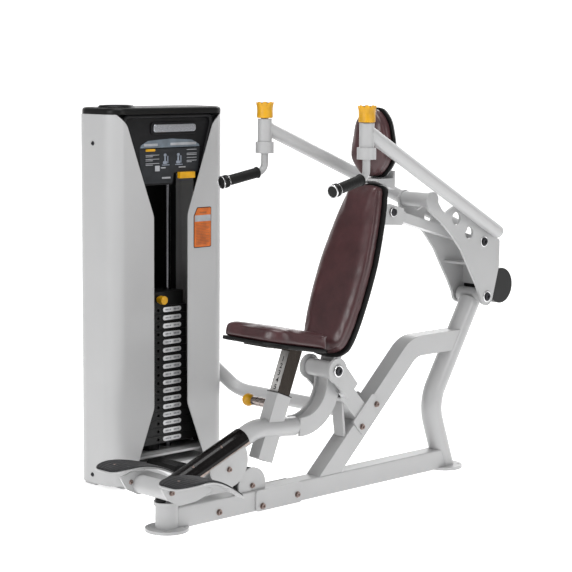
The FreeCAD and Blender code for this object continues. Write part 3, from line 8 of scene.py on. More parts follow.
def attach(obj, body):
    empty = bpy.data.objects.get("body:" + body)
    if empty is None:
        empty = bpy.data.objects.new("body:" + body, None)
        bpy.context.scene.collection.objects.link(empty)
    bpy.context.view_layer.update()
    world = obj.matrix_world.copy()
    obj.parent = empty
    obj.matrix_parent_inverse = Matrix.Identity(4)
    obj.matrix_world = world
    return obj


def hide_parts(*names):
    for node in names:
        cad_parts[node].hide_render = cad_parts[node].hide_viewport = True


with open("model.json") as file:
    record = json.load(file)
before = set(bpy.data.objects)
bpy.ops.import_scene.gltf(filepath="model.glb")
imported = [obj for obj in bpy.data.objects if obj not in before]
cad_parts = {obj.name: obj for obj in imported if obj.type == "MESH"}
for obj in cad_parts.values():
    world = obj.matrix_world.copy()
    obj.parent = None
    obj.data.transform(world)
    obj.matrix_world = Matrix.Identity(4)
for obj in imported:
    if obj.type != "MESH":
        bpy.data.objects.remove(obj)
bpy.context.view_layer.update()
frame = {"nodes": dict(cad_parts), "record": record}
nodes = frame["nodes"]


# ---- materials ----------------------------------------------------------------------------

class Look:
    """A node material while it is being built."""

    def __init__(self, name):
        self.material = bpy.data.materials.new(name)
        self.material.use_nodes = True
        self.tree = self.material.node_tree
        self.shader = self.tree.nodes["Principled BSDF"]
        self.place = self.add("ShaderNodeTexCoord").outputs["Object"]

    def add(self, kind, **settings):
        """A node with some settings; a setting named for an input socket sets that input."""
        made = self.tree.nodes.new(kind)
        for name, value in settings.items():
            if name in made.inputs:
                made.inputs[name].default_value = value
            else:
                setattr(made, name, value)
        return made

    def link(self, source, target):
        """Join an output socket to an input socket."""
        self.tree.links.new(source, target)

    def noise(self, scale, detail=3.0, rough=0.5, stretch=None):
        """Fractal noise over the object's own coordinates; scale is features per metre."""
        made = self.add("ShaderNodeTexNoise", Scale=scale, Detail=detail, Roughness=rough)
        place = self.place
        if stretch:
            mapping = self.add("ShaderNodeMapping", Scale=stretch)
            self.link(self.place, mapping.inputs["Vector"])
            place = mapping.outputs["Vector"]
        self.link(place, made.inputs["Vector"])
        return made.outputs["Fac"]

    def cells(self, scale):
        """Cellular texture, for grain and pebbles."""
        made = self.add("ShaderNodeTexVoronoi", feature="SMOOTH_F1")
        made.inputs["Scale"].default_value = scale
        made.inputs["Randomness"].default_value = 1.0
        self.link(self.place, made.inputs["Vector"])
        return made.outputs["Distance"]

    def ramp(self, source, stops):
        """Map a value to colours or greys through a colour ramp."""
        made = self.add("ShaderNodeValToRGB")
        ramp = made.color_ramp
        while len(ramp.elements) < len(stops):
            ramp.elements.new(0.5)
        for element, (spot, colour) in zip(ramp.elements, stops):
            element.position = spot
            element.color = (*colour, 1.0) if len(colour) == 3 else colour
        self.link(source, made.inputs["Fac"])
        return made.outputs["Color"]

    def span(self, source, low, high, start=0.0, stop=1.0):
        """Map a value's range onto another."""
        made = self.add("ShaderNodeMapRange")
        for name, value in (("From Min", start), ("From Max", stop), ("To Min", low), ("To Max", high)):
            made.inputs[name].default_value = value
        self.link(source, made.inputs["Value"])
        return made.outputs["Result"]

    def sum(self, first, second, weight):
        """first + second * weight."""
        made = self.add("ShaderNodeMath", operation="MULTIPLY_ADD")
        self.link(second, made.inputs[0])
        made.inputs[1].default_value = weight
        self.link(first, made.inputs[2])
        return made.outputs["Value"]

    def bump(self, height, distance, strength=1.0, edge=0.0):
        """Raise the surface by a height value; edge rounds sharp edges by that radius."""
        made = self.add("ShaderNodeBump", Strength=strength, Distance=distance)
        self.link(height, made.inputs["Height"])
        if edge:
            bevel = self.add("ShaderNodeBevel", samples=4, Radius=edge)
            self.link(bevel.outputs["Normal"], made.inputs["Normal"])
        self.link(made.outputs["Normal"], self.shader.inputs["Normal"])

    def colour(self, source):
        """Drive the base colour by a node."""
        self.link(source, self.shader.inputs["Base Color"])

    def roughness(self, source):
        """Drive the roughness by a node."""
        self.link(source, self.shader.inputs["Roughness"])

    def set(self, **values):
        """Set values on the shader's own sockets; an underscore stands for a space."""
        for name, value in values.items():
            self.shader.inputs[name.replace("_", " ")].default_value = value


def paint(name, shade, gloss, flake=0.03, edge=0.0016):
    """Powder coat: faint mottling, orange peel and softly rounded edges."""
    look = Look(name)
    low = tuple(part * (1 - flake) for part in shade)
    high = tuple(min(1.0, part * (1 + flake)) for part in shade)
    look.colour(look.ramp(look.noise(9.0, 4.0), [(0.35, low), (0.65, high)]))
    look.roughness(look.span(look.noise(7.0, 3.0), gloss - 0.03, gloss + 0.04, 0.3, 0.7))
    look.bump(look.noise(650.0, 2.0), 0.0001, 0.12, edge)
    if max(shade) < 0.06:
        look.set(Specular_IOR_Level=0.3, Coat_Weight=0.05, Coat_Roughness=0.3)
    else:
        look.set(Coat_Weight=0.3, Coat_Roughness=0.22)
    return look.material


def plastic(name, shade, gloss, grain=0.25, edge=0.0012):
    """Moulded plastic with a fine pebble grain."""
    look = Look(name)
    low = tuple(part * 0.8 for part in shade)
    high = tuple(part * 1.2 for part in shade)
    look.colour(look.ramp(look.noise(30.0, 4.0), [(0.3, low), (0.7, high)]))
    look.roughness(look.span(look.noise(120.0, 4.0), gloss - 0.06, gloss + 0.1, 0.3, 0.7))
    look.bump(look.cells(1400.0), 0.0002, grain, edge)
    if max(shade) < 0.06:
        look.set(Specular_IOR_Level=0.2)
    return look.material


def metal(name, shade, gloss, brushed=None, edge=0.0008):
    """Bare or plated metal; brushed gives the stretch of its fine scratches."""
    look = Look(name)
    low = tuple(part * 0.86 for part in shade)
    stretch = brushed or (1.0, 1.0, 1.0)
    look.colour(look.ramp(look.noise(60.0, 5.0, stretch=stretch), [(0.3, low), (0.7, shade)]))
    look.roughness(look.span(look.noise(260.0, 5.0, stretch=stretch), gloss - 0.05, gloss + 0.1,
                             0.3, 0.7))
    look.bump(look.noise(900.0, 3.0, stretch=stretch), 0.00008, 0.5, edge)
    look.set(Metallic=1.0)
    return look.material


def leather(name, shade):
    """Upholstery vinyl: pebbled grain, soft mottling, a slight sheen."""
    look = Look(name)
    dark = tuple(part * 0.72 for part in shade)
    light = tuple(part * 1.3 for part in shade)
    mottle = look.noise(14.0, 6.0, 0.6)
    look.colour(look.ramp(mottle, [(0.3, dark), (0.7, light)]))
    grain = look.sum(look.cells(620.0), look.noise(1500.0, 3.0), 0.4)
    look.roughness(look.span(look.noise(90.0, 4.0), 0.28, 0.42, 0.3, 0.7))
    look.bump(look.sum(grain, look.noise(35.0, 3.0), 1.2), 0.0006, 0.35)
    look.set(Coat_Weight=0.25, Coat_Roughness=0.25)
    return look.material


looks = {
    "white_paint": paint("white_paint", (0.425, 0.426, 0.429), 0.32, 0.012),
    "black_rubber": plastic("black_rubber", (0.007, 0.007, 0.007), 0.5, 0.5),
    "mat_rubber": plastic("mat_rubber", (0.022, 0.022, 0.024), 0.5, 0.4),
    "bolt_steel": metal("bolt_steel", (0.27, 0.21, 0.19), 0.26),
    "black_bolt": metal("black_bolt", (0.05, 0.05, 0.055), 0.32),
    "brushed_post": metal("brushed_post", (0.62, 0.62, 0.63), 0.26, (1.0, 30.0, 1.0)),
    "chrome": metal("chrome", (0.75, 0.75, 0.76), 0.12),
    "black_steel": paint("black_steel", (0.008, 0.008, 0.008), 0.42, 0.2),
    "black_plastic": plastic("black_plastic", (0.006, 0.006, 0.006), 0.34),
    "header_plastic": plastic("header_plastic", (0.010, 0.010, 0.011), 0.35),
    "edge_plastic": plastic("edge_plastic", (0.006, 0.006, 0.006), 0.36),
    "gloss_cover": plastic("gloss_cover", (0.005, 0.004, 0.004), 0.12, 0.03),
    "pulley_plastic": plastic("pulley_plastic", (0.04, 0.04, 0.042), 0.4),
    "yellow_plastic": plastic("yellow_plastic", (0.64, 0.325, 0.004), 0.36, 0.1),
    "burgundy_leather": leather("burgundy_leather", (0.050, 0.0165, 0.0185)),
    "card_dark": plastic("card_dark", (0.025, 0.027, 0.030), 0.4, 0.1),
    "card_band": plastic("card_band", (0.13, 0.16, 0.19), 0.4, 0.1),
    "figure_blue": plastic("figure_blue", (0.22, 0.25, 0.30), 0.45, 0.1),
    "print_grey": plastic("print_grey", (0.36, 0.37, 0.39), 0.5, 0.1),
    "tag_print": plastic("tag_print", (0.32, 0.09, 0.02), 0.5, 0.1),
    "print_black": plastic("print_black", (0.02, 0.02, 0.02), 0.5, 0.1),
    "label_white": plastic("label_white", (0.72, 0.72, 0.73), 0.4, 0.1),
    "badge_silver": metal("badge_silver", (0.62, 0.64, 0.68), 0.25, (1.0, 30.0, 1.0)),
    "tag_orange": plastic("tag_orange", (0.58, 0.13, 0.012), 0.4, 0.1),
    "strip_grey": plastic("strip_grey", (0.46, 0.45, 0.44), 0.45, 0.1),
    "post_sides": metal("post_sides", (0.036, 0.030, 0.026), 0.25, (1.0, 1.0, 0.05)),
    # Pull pin cover: chrome whose colour is darkened and browned as a painted dark reflection.
    "pin_chrome_painted_dark_reflection": metal("pin_chrome_painted_dark_reflection", (0.36, 0.31, 0.29), 0.18, (0.05, 1.0, 1.0)),
    # Guide rods: chrome whose colour is darkened as a painted dark reflection of the shaded tower
    # interior.
    "rod_chrome_painted_dark_reflection": metal("rod_chrome_painted_dark_reflection", (0.13, 0.13, 0.14), 0.16),
    "cover_trim": plastic("cover_trim", (0.42, 0.33, 0.29), 0.35, 0.1),
}


slot_of = {row["node"]: row["material_slot"] for row in frame["record"]["subparts"]}
for name, piece in nodes.items():
    for index in range(max(1, len(piece.data.materials))):
        if piece.data.materials:
            piece.data.materials[index] = looks[slot_of[name]]
        else:
            piece.data.materials.append(looks[slot_of[name]])


# The guide rods get chrome with a painted dark reflection in its colour.
for name, look in (("guide_rods", "rod_chrome_painted_dark_reflection"), ("seat_post", "post_sides"),
                   ("carriage_bolts", "bolt_steel")):
    nodes[name].data.materials[0] = looks[look]


# ---- building blocks ----------------------------------------------------------------------

SHARP_ANGLE = 38.0
SIDES = ((1, "left"), (-1, "right"))

def smooth_loop(points, count):
    """Evenly spaced points round a smooth closed curve through the given points."""
    spots = [Vector(point) for point in points]
    total = len(spots)
    fine = []
    for index in range(total):
        before, start, stop, after = (spots[(index + step) % total] for step in (-1, 0, 1, 2))
        for part in range(16):
            t = part / 16
            fine.append(0.5 * (2 * start + (stop - before) * t
                               + (2 * before - 5 * start + 4 * stop - after) * t ** 2
                               + (3 * start - before - 3 * stop + after) * t ** 3))
    ends = fine[1:] + fine[:1]
    lengths = [(stop - start).length for start, stop in zip(fine, ends)]
    step = sum(lengths) / count
    loop = []
    travelled = 0.0
    for start, stop, length in zip(fine, ends, lengths):
        while len(loop) < count and len(loop) * step < travelled + length:
            loop.append(start.lerp(stop, (len(loop) * step - travelled) / length))
        travelled += length
    return loop


def rounded(corners, radii, steps=7):
    """A polygon's outline with each corner rounded by its own radius."""
    outline = []
    for index, radius in enumerate(radii):
        corner = Vector(corners[index])
        before = (Vector(corners[index - 1]) - corner).normalized()
        after = (Vector(corners[(index + 1) % len(corners)]) - corner).normalized()
        half = before.angle(after) / 2
        centre = corner + (before + after).normalized() * radius / math.sin(half)
        start = before * radius / math.tan(half) + corner - centre
        stop = after * radius / math.tan(half) + corner - centre
        for step in range(steps + 1):
            outline.append(centre + start.lerp(stop, step / steps).normalized() * radius)
    return outline


def oblong(left, right, low, high, radius):
    """A rounded rectangle's outline, anticlockwise."""
    corners = [(left, low), (right, low), (right, high), (left, high)]
    return rounded(corners, [radius] * 4)


def outline_of(half, grow=0.0):
    """A smooth symmetric outline, anticlockwise, from (height, half width) rows."""
    right = [(width + grow, height + math.copysign(grow, height)) for height, width in half]
    left = [(-across, up) for across, up in reversed(right)]
    return smooth_loop(right + left, 160)


def inset(loop, distance):
    """An anticlockwise loop moved inwards."""
    moved = []
    for index, spot in enumerate(loop):
        run = loop[(index + 1) % len(loop)] - loop[index - 1]
        moved.append(spot + Vector((-run.y, run.x)).normalized() * distance)
    return moved


def make(name, vertices, faces, slot, body, place=None, look=None):
    """A piece from points and faces, with a slot's material or its own, riding on a body."""
    shape = bmesh.new()
    points = [shape.verts.new(vertex) for vertex in vertices]
    for face in faces:
        shape.faces.new([points[index] for index in face])
    bmesh.ops.recalc_face_normals(shape, faces=shape.faces)
    mesh = bpy.data.meshes.new(name)
    shape.to_mesh(mesh)
    shape.free()
    if place:
        mesh.transform(place)
    mesh.polygons.foreach_set("use_smooth", [True] * len(mesh.polygons))
    mesh.set_sharp_from_angle(angle=math.radians(SHARP_ANGLE))
    mesh.materials.append(looks[look or slot])
    piece = bpy.data.objects.new(name, mesh)
    bpy.context.scene.collection.objects.link(piece)
    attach(piece, body)
    return piece


def skin(rings, closed=False):
    """Points and faces that join rings of equal size, with both ends capped unless closed."""
    count = len(rings[0])
    points = [point for ring in rings for point in ring]
    faces = []
    for row in range(len(rings) if closed else len(rings) - 1):
        near, far = row * count, (row + 1) % len(rings) * count
        for index in range(count):
            after = (index + 1) % count
            faces.append((near + index, near + after, far + after, far + index))
    if not closed:
        faces.append(tuple(range(count)))
        faces.append(tuple(range(len(points) - count, len(points))))
    return points, faces


def slab(name, loops, rings, slot, body, place, look=None):
    """Flat pieces with shaped edges: each loop repeated at every (inset, height) of the rings."""
    points, faces = [], []
    for loop in loops:
        rows = [[Vector((spot.x, spot.y, height)) for spot in inset(loop, distance)]
                for distance, height in rings]
        more, sides = skin(rows)
        faces += [tuple(index + len(points) for index in face) for face in sides]
        points += more
    return make(name, points, faces, slot, body, place, look)


def turned(name, profile, slot, body, place, sides=48, closed=False, wave=None, look=None):
    """A round piece: (height, radius) rows turned about the axis; wave may change each point."""
    rings = []
    for height, radius in profile:
        ring = []
        for side in range(sides):
            angle = 2 * math.pi * side / sides
            reach, up = wave(height, radius, angle) if wave else (radius, height)
            ring.append(Vector((reach * math.cos(angle), reach * math.sin(angle), up)))
        rings.append(ring)
    points, faces = skin(rings, closed)
    return make(name, points, faces, slot, body, place, look)


def bar(name, path, radius, slot, body, place, sides=12):
    """A round bar along an open flat path."""
    rings = []
    for index, spot in enumerate(path):
        run = path[min(index + 1, len(path) - 1)] - path[max(index - 1, 0)]
        beside = Vector((-run.y, run.x)).normalized()
        ring = []
        for side in range(sides):
            angle = 2 * math.pi * side / sides
            across = spot + beside * radius * math.cos(angle)
            ring.append(Vector((across.x, across.y, radius * math.sin(angle))))
        rings.append(ring)
    points, faces = skin(rings)
    return make(name, points, faces, slot, body, place)


def aimed(origin, axis):
    """The place of a piece whose own height runs along an axis."""
    turn = Vector(axis).to_track_quat("Z", "Y").to_matrix().to_4x4()
    return Matrix.Translation(origin) @ turn


def tipped(origin, degrees):
    """A place turned about the X axis."""
    return Matrix.Translation(origin) @ Matrix.Rotation(math.radians(degrees), 4, "X")


def tower_face(depth):
    """A place on the tower's front: across is +Y, up is +Z, and out is +X."""
    return Matrix(((0, 0, 1, depth), (1, 0, 0, 0), (0, 1, 0, 0), (0, 0, 0, 1)))


MM = 0.001
THIN = [(0.0003, 0.0), (0.0, 0.0003), (0.0, 0.0008), (0.0003, 0.0011)]
FILM = [(0.0001, -0.0002), (0.0, -0.0001), (0.0, 0.00004), (0.0001, 0.00008)]


# ---- cushions and their boards ------------------------------------------------------------

def baked(piece):
    """Put what the modifiers make of a piece into its own mesh."""
    graph = bpy.context.evaluated_depsgraph_get()
    mesh = bpy.data.meshes.new_from_object(piece.evaluated_get(graph))
    piece.modifiers.clear()
    piece.data = mesh


CLOTH_FRAMES = 20
COVER_PRESSURE = 4.0
SETTLE_STEPS = 14


def inflate(piece, voxel, cap, held_below):
    """Swell a pad like a filled cover: an even mesh, then cloth under pressure, then a limit."""
    remesh = piece.modifiers.new("even", "REMESH")
    remesh.mode = "VOXEL"
    remesh.voxel_size = voxel
    smooth = piece.modifiers.new("smooth", "SMOOTH")
    smooth.iterations = 4
    baked(piece)
    before = [vertex.co.copy() for vertex in piece.data.vertices]
    held = piece.vertex_groups.new(name="held")
    held.add([index for index, spot in enumerate(before) if spot.z < held_below], 1.0, "REPLACE")
    cloth = piece.modifiers.new("cloth", "CLOTH")
    cloth.settings.quality = 4
    cloth.settings.use_pressure = True
    cloth.settings.uniform_pressure_force = COVER_PRESSURE
    cloth.settings.effector_weights.gravity = 0.0
    cloth.settings.vertex_group_mass = "held"
    cloth.point_cache.frame_start = 1
    cloth.point_cache.frame_end = CLOTH_FRAMES
    for step in range(1, CLOTH_FRAMES + 1):
        bpy.context.scene.frame_set(step)
    baked(piece)
    for vertex, start in zip(piece.data.vertices, before):
        shift = vertex.co - start
        if shift.length > cap:
            vertex.co = start + shift.normalized() * cap
    even = piece.modifiers.new("settle", "SMOOTH")
    even.iterations = SETTLE_STEPS
    baked(piece)
    bpy.context.scene.frame_set(1)


def seam(piece, height, depth, width):
    """Press a sewn line into a pad's side wall at a height."""
    mesh = piece.data
    normals = [vertex.normal.copy() for vertex in mesh.vertices]
    for vertex, normal in zip(mesh.vertices, normals):
        beside = math.hypot(normal.x, normal.y)
        near = math.exp(-((vertex.co.z - height) / width) ** 2)
        vertex.co -= Vector((normal.x, normal.y, 0.0)) * beside * near * depth


def cushion(name, node, body, loop, thickness, place, voxel, cap, sewn=False):
    """A pad in leather, swollen by cloth simulation, with the record's node behind it."""
    rings = [(0.007, -thickness), (0.0030, -thickness + 0.003), (0.0020, -thickness + 0.008),
             (0.0020, -0.0150), (0.0032, -0.0090), (0.0070, -0.0050), (0.0150, -0.0040)]
    piece = slab(name, [loop], rings, "burgundy_leather", body, None)
    inflate(piece, voxel, cap, 0.005 - thickness)
    if sewn:
        seam(piece, -0.022, 0.0035, 0.0035)
    piece.data.transform(place)
    piece.data.polygons.foreach_set("use_smooth", [True] * len(piece.data.polygons))
    piece.data.materials.clear()
    piece.data.materials.append(looks["burgundy_leather"])
    finer = piece.modifiers.new("finer", "SUBSURF")
    finer.levels = finer.render_levels = 1
    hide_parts(node)


def board(name, node, body, loop, top, bottom, place):
    """A moulded board under a pad, its edges rounded."""
    rings = [(0.003, bottom), (0.001, bottom + 0.0006), (0.0, bottom + 0.002),
             (0.0, top - 0.002), (0.001, top - 0.0006), (0.003, top)]
    piece = slab(name, [loop], rings, "edge_plastic", body, place)
    if node:
        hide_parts(node)


BACK_HALF = [(-133, 40), (-114, 82), (-85, 100), (-29, 111), (40, 117), (110, 119), (200, 117),
             (308, 104), (378, 92), (430, 79), (470, 58)]
HEAD_HALF = [(-102, 30), (-88, 50), (-66, 70), (-37, 85), (0, 84), (31, 79), (80, 66), (108, 47),
             (128, 20)]
BACK_PLACE = tipped((0.0, 0.713, 0.630), 69.0)
HEAD_PLACE = tipped((0.0, 0.900, 1.190), 90.0)
SEAT_PLACE = tipped((0.0, 0.467, 0.606), -10.8)


def seat_outline(grow=0.0):
    """The seat's plan: wide round corners in front, tight ones behind."""
    x, y = 0.145 + grow, 0.125 + grow
    corners = [(-x, -y), (x, -y), (x, y), (-x, y)]
    return smooth_loop(rounded(corners, [0.07 + grow, 0.07 + grow, 0.026 + grow, 0.026 + grow]), 150)


def upholstery():
    """The three sewn cushions, the boards behind them and the head rest's shell."""
    back = [(height * MM, width * MM) for height, width in BACK_HALF]
    head = [(height * MM, width * MM) for height, width in HEAD_HALF]
    cushion("back_cushion", "back_pad", "carriage", outline_of(back), 0.046, BACK_PLACE, 0.006,
            0.006, True)
    cushion("head_cushion", "head_pad", "carriage", outline_of(head), 0.050, HEAD_PLACE, 0.005,
            0.007, True)
    cushion("seat_cushion", "seat_pad", "seat", seat_outline(), 0.050, SEAT_PLACE, 0.0055, 0.006)
    board("back_edging", "back_board", "carriage", outline_of(back, 0.004), -0.0462, -0.059,
          BACK_PLACE)
    board("seat_edging", "seat_board", "seat", seat_outline(0.003), -0.0502, -0.063, SEAT_PLACE)
    board("head_edging", None, "carriage", outline_of(head, 0.003), -0.0505, -0.0580, HEAD_PLACE)
    dome = [(0.034, -0.0705), (0.020, -0.0700), (0.009, -0.0680), (0.003, -0.0640),
            (0.0005, -0.0610), (0.0005, -0.0582)]
    shell = slab("head_dome", [outline_of(head, 0.003)], dome, "white_paint", "carriage", HEAD_PLACE)
    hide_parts("head_shell")


# ---- foot rests ---------------------------------------------------------------------------

REST_ROWS = [(-0.137, 0.138, 0.172), (-0.130, 0.112, 0.198), (-0.112, 0.094, 0.216),
             (-0.085, 0.086, 0.225), (-0.060, 0.084, 0.226), (-0.030, 0.085, 0.218),
             (0.004, 0.088, 0.204), (0.040, 0.092, 0.190), (0.070, 0.096, 0.180),
             (0.100, 0.101, 0.171), (0.130, 0.106, 0.164), (0.165, 0.112, 0.159),
             (0.188, 0.119, 0.155), (0.195, 0.130, 0.145)]


def rest_edge(y, column):
    """The foot rest's inner or outer edge at a distance along it, smooth between the rows."""
    last = len(REST_ROWS) - 2
    index = max(0, min(last, sum(row[0] <= y for row in REST_ROWS) - 1))
    start, stop = REST_ROWS[index], REST_ROWS[index + 1]
    before, after = REST_ROWS[max(0, index - 1)], REST_ROWS[min(last + 1, index + 2)]
    width = stop[0] - start[0]
    t = (y - start[0]) / width
    rise_in = (stop[column] - before[column]) / (stop[0] - before[0]) * width
    rise_out = (after[column] - start[column]) / (after[0] - start[0]) * width
    return ((2 * t ** 3 - 3 * t ** 2 + 1) * start[column] + (t ** 3 - 2 * t ** 2 + t) * rise_in
            + (3 * t ** 2 - 2 * t ** 3) * stop[column] + (t ** 3 - t ** 2) * rise_out)


def rest_wave(y):
    """The foot rest's height at a distance along it."""
    return 0.195 - 0.096 * ((y + 0.06) / 0.258) ** 2


def rest_layer(name, node, slot, top, bottom, shrink, ribs, roll):
    """One layer of both foot rests, with lengthwise ribs and rolled-over edges."""
    rows, columns = 64, 8 * ribs if ribs else 16
    low, high = REST_ROWS[0][0] + shrink, REST_ROWS[-1][0] - shrink
    points, faces = [], []
    for side in (1, -1):
        first = len(points)
        for level in (top, bottom):
            for row in range(rows + 1):
                y = low + (high - low) * (0.5 - 0.5 * math.cos(math.pi * row / rows))
                inner, outer = rest_edge(y, 1) + shrink, rest_edge(y, 2) - shrink
                for column in range(columns + 1):
                    t = column / columns
                    near = max(abs(2 * t - 1), abs(2 * (y - low) / (high - low) - 1) ** 6)
                    lift = -roll * max(0.0, (near - 0.86) / 0.14) ** 2 if level == top else 0.0
                    if ribs and level == top:
                        lift += 0.0011 * abs(math.sin(math.pi * ribs * t)) ** 0.6
                    points.append((side * (inner + (outer - inner) * t), y,
                                   rest_wave(y) + level + lift))
        wide, sheet = columns + 1, (rows + 1) * (columns + 1)
        for row in range(rows):
            for column in range(columns):
                a = first + row * wide + column
                faces.append((a, a + 1, a + wide + 1, a + wide))
                faces.append(tuple(index + sheet for index in (a, a + 1, a + wide + 1, a + wide)))
        rim = [first + column for column in range(wide)]
        rim += [first + row * wide + columns for row in range(1, rows + 1)]
        rim += [first + rows * wide + column for column in range(columns - 1, -1, -1)]
        rim += [first + row * wide for row in range(rows - 1, 0, -1)]
        for index, corner in enumerate(rim):
            after = rim[(index + 1) % len(rim)]
            faces.append((corner, after, after + sheet, corner + sheet))
    piece = make(name, points, faces, slot, "carriage")
    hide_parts(node)


def foot_rests():
    """The foot plates with their ribbed mats, and a screw in each mat and ear."""
    rest_layer("foot_pans", "foot_plates", "white_paint", 0.0, -0.006, 0.0, 0, 0.0015)
    rest_layer("foot_treads", "foot_mats", "mat_rubber", 0.0045, 0.0002, 0.004, 7, 0.003)
    for side, word in SIDES:
        screw("ear_screw_" + word, (side * 0.0949, -0.069, 0.150), (-side, 0, 0), 0.008, "carriage")
        screw("tread_screw_" + word, (side * 0.156, -0.085, rest_wave(-0.085) + 0.0045), (0, 0.1, 1),
              0.0045, "carriage")


# ---- small hardware -----------------------------------------------------------------------

def screw(name, spot, axis, radius, body, slot="bolt_steel"):
    """A button-head screw with a hexagonal socket."""
    def socket(height, reach, angle):
        """Six flat sides for the innermost rows."""
        turn = (angle + math.pi / 6) % (math.pi / 3) - math.pi / 6
        return (reach / math.cos(turn) if reach < radius * 0.5 else reach), height
    profile = [(0.0, radius), (radius * 0.25, radius * 0.97), (radius * 0.5, radius * 0.75),
               (radius * 0.56, radius * 0.52), (radius * 0.5, radius * 0.4),
               (radius * 0.12, radius * 0.38)]
    turned(name, profile, slot, body, aimed(spot, axis), 36, wave=socket)


def trim_ring(name, spot, axis, inner, outer, height, body):
    """A polished ring round a bolt."""
    profile = [(0.0, inner), (0.0, outer), (height * 0.7, outer), (height, outer - height * 0.4),
               (height, inner + height * 0.4), (height * 0.7, inner)]
    turned(name, profile, "chrome", body, aimed(spot, axis), closed=True)


def pivots():
    """Polished rings at the three large pivots, on both sides."""
    spots = [("carriage_ring", (0.0730, 0.700, 0.440), 0.0150, 0.0215, "frame"),
             ("arm_ring", (0.0712, 1.481, 0.627), 0.0150, 0.0215, "arms"),
             ("rear_link_ring", (0.0712, 1.458, 0.831), 0.0150, 0.0200, "arms")]
    for name, (x, y, z), inner, outer, body in spots:
        for side, word in SIDES:
            trim_ring("%s_%s" % (name, word), (side * x, y, z), (side, 0, 0), inner, outer, 0.0035,
                      body)


def link_caps():
    """Dark caps with polished rims on the link's front bolt."""
    for side, word in SIDES:
        spot = (side * 0.0545, 0.985, 0.9625)
        trim_ring("link_cap_rim_" + word, spot, (side, 0, 0), 0.0125, 0.0165, 0.0035, "carriage")
        profile = [(0.0, 0.0126), (0.0062, 0.0126), (0.0072, 0.0112), (0.0072, 0.0070),
                   (0.0055, 0.0062), (0.0055, 0.0002)]
        turned("link_cap_" + word, profile, "black_bolt", "carriage", aimed(spot, (side, 0, 0)))


HANDLE_X, HANDLE_Y = 0.240, 0.647
KNOB_LOW, HANDLE_LOW = 1.286, 1.106


def petal(height, radius, angle):
    """Eight soft petals that open towards the knob's top."""
    open_part = max(0.0, (height - 0.022) / 0.033)
    scallop = abs(math.cos(4 * angle)) ** 0.7
    return radius * (1 - 0.13 * open_part * (1 - scallop)), height - 0.006 * open_part * (1 - scallop)


def knobs():
    """The petalled knobs above the handles, each with a dark insert."""
    profile = [(0.0, 0.0255), (0.002, 0.0275), (0.014, 0.0275), (0.024, 0.0270), (0.032, 0.0272),
               (0.040, 0.0282), (0.047, 0.0298), (0.052, 0.0308), (0.0548, 0.0298),
               (0.0540, 0.0265), (0.0515, 0.0235), (0.0500, 0.0220)]
    insert = [(0.0480, 0.0218), (0.0515, 0.0218), (0.0523, 0.0205), (0.0523, 0.0150),
              (0.0505, 0.0135), (0.0505, 0.0002)]
    for side, word in SIDES:
        place = Matrix.Translation((side * HANDLE_X, HANDLE_Y, KNOB_LOW))
        knob = turned("petal_knob_" + word, profile, "yellow_plastic", word + "_knob", place, 96,
                      wave=petal)
        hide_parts("knob_" + word)
        turned("knob_insert_" + word, insert, "black_plastic", word + "_knob", place)


def grips():
    """Knurled rubber grips, each with a bright band and a ringed end disc."""
    splay, drop = math.radians(7.2), math.radians(11.2)
    core = 0.0176
    knurled = [(0.0300, 0.0150), (0.0302, 0.0190), (0.0315, 0.0202), (0.0335, 0.0202),
               (0.0350, 0.0186)]
    knurled += [(0.0360 + 0.0008 * step, core) for step in range(148)]
    knurled += [(0.1550, 0.0186), (0.1560, 0.0196), (0.1578, 0.0196), (0.1580, 0.0150)]

    def diamonds(height, radius, angle):
        """Crossed twisting waves on the rows between the two end rims."""
        if abs(radius - core) > 1e-6:
            return radius, height
        twist = math.sin(12 * angle + 700 * height) * math.sin(12 * angle - 700 * height)
        return radius + 0.00045 * twist, height

    for side, word in SIDES:
        axis = Vector((side * math.sin(splay) * math.cos(drop), -math.cos(splay) * math.cos(drop),
                       -math.sin(drop)))
        place = aimed((side * HANDLE_X, HANDLE_Y, HANDLE_LOW), axis)
        body = word + "_handle"
        grip = turned("rubber_grip_" + word, knurled, "black_rubber", body, place, 96, wave=diamonds)
        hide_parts("hand_grip_" + word)
        band = [(0.1582, 0.0150), (0.1582, 0.0205), (0.1590, 0.0214), (0.1612, 0.0214),
                (0.1618, 0.0205), (0.1618, 0.0150)]
        turned("grip_band_" + word, band, "chrome", body, place, closed=True)
        cover = [(0.1618, 0.0216), (0.1620, 0.0219), (0.1812, 0.0219), (0.1816, 0.0216)]
        turned("grip_cover_" + word, cover, "black_plastic", body, place, closed=True)
        end = [(0.1812, 0.0205), (0.1820, 0.0220), (0.1845, 0.0222), (0.1858, 0.0212),
               (0.1852, 0.0185), (0.1830, 0.0182)]
        turned("grip_end_ring_" + word, end, "chrome", body, place, closed=True)
        disc = [(0.1830, 0.0186), (0.1840, 0.0186), (0.1848, 0.0150), (0.1848, 0.0002)]
        turned("grip_end_disc_" + word, disc, "black_plastic", body, place)


# ---- seat post, sleeve and front tube -----------------------------------------------------

SLEEVE_Y, SLEEVE_Z = 0.491, 0.372
POST_TILT = 22.0
POST_HALF_DEPTH = 0.0285


def lettering(name, text, size, place, body):
    """One printed sign, as a thin solid."""
    curve = bpy.data.curves.new(name, "FONT")
    curve.body = text
    curve.size = size
    curve.extrude = 0.00004
    curve.offset = 0.0006
    curve.align_x = "CENTER"
    curve.align_y = "CENTER"
    shape = bpy.data.objects.new(name + "_curve", curve)
    bpy.context.scene.collection.objects.link(shape)
    graph = bpy.context.evaluated_depsgraph_get()
    mesh = bpy.data.meshes.new_from_object(shape.evaluated_get(graph))
    bpy.data.objects.remove(shape)
    mesh.transform(place)
    mesh.materials.clear()
    mesh.materials.append(looks["print_black"])
    piece = bpy.data.objects.new(name, mesh)
    bpy.context.scene.collection.objects.link(piece)
    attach(piece, body)


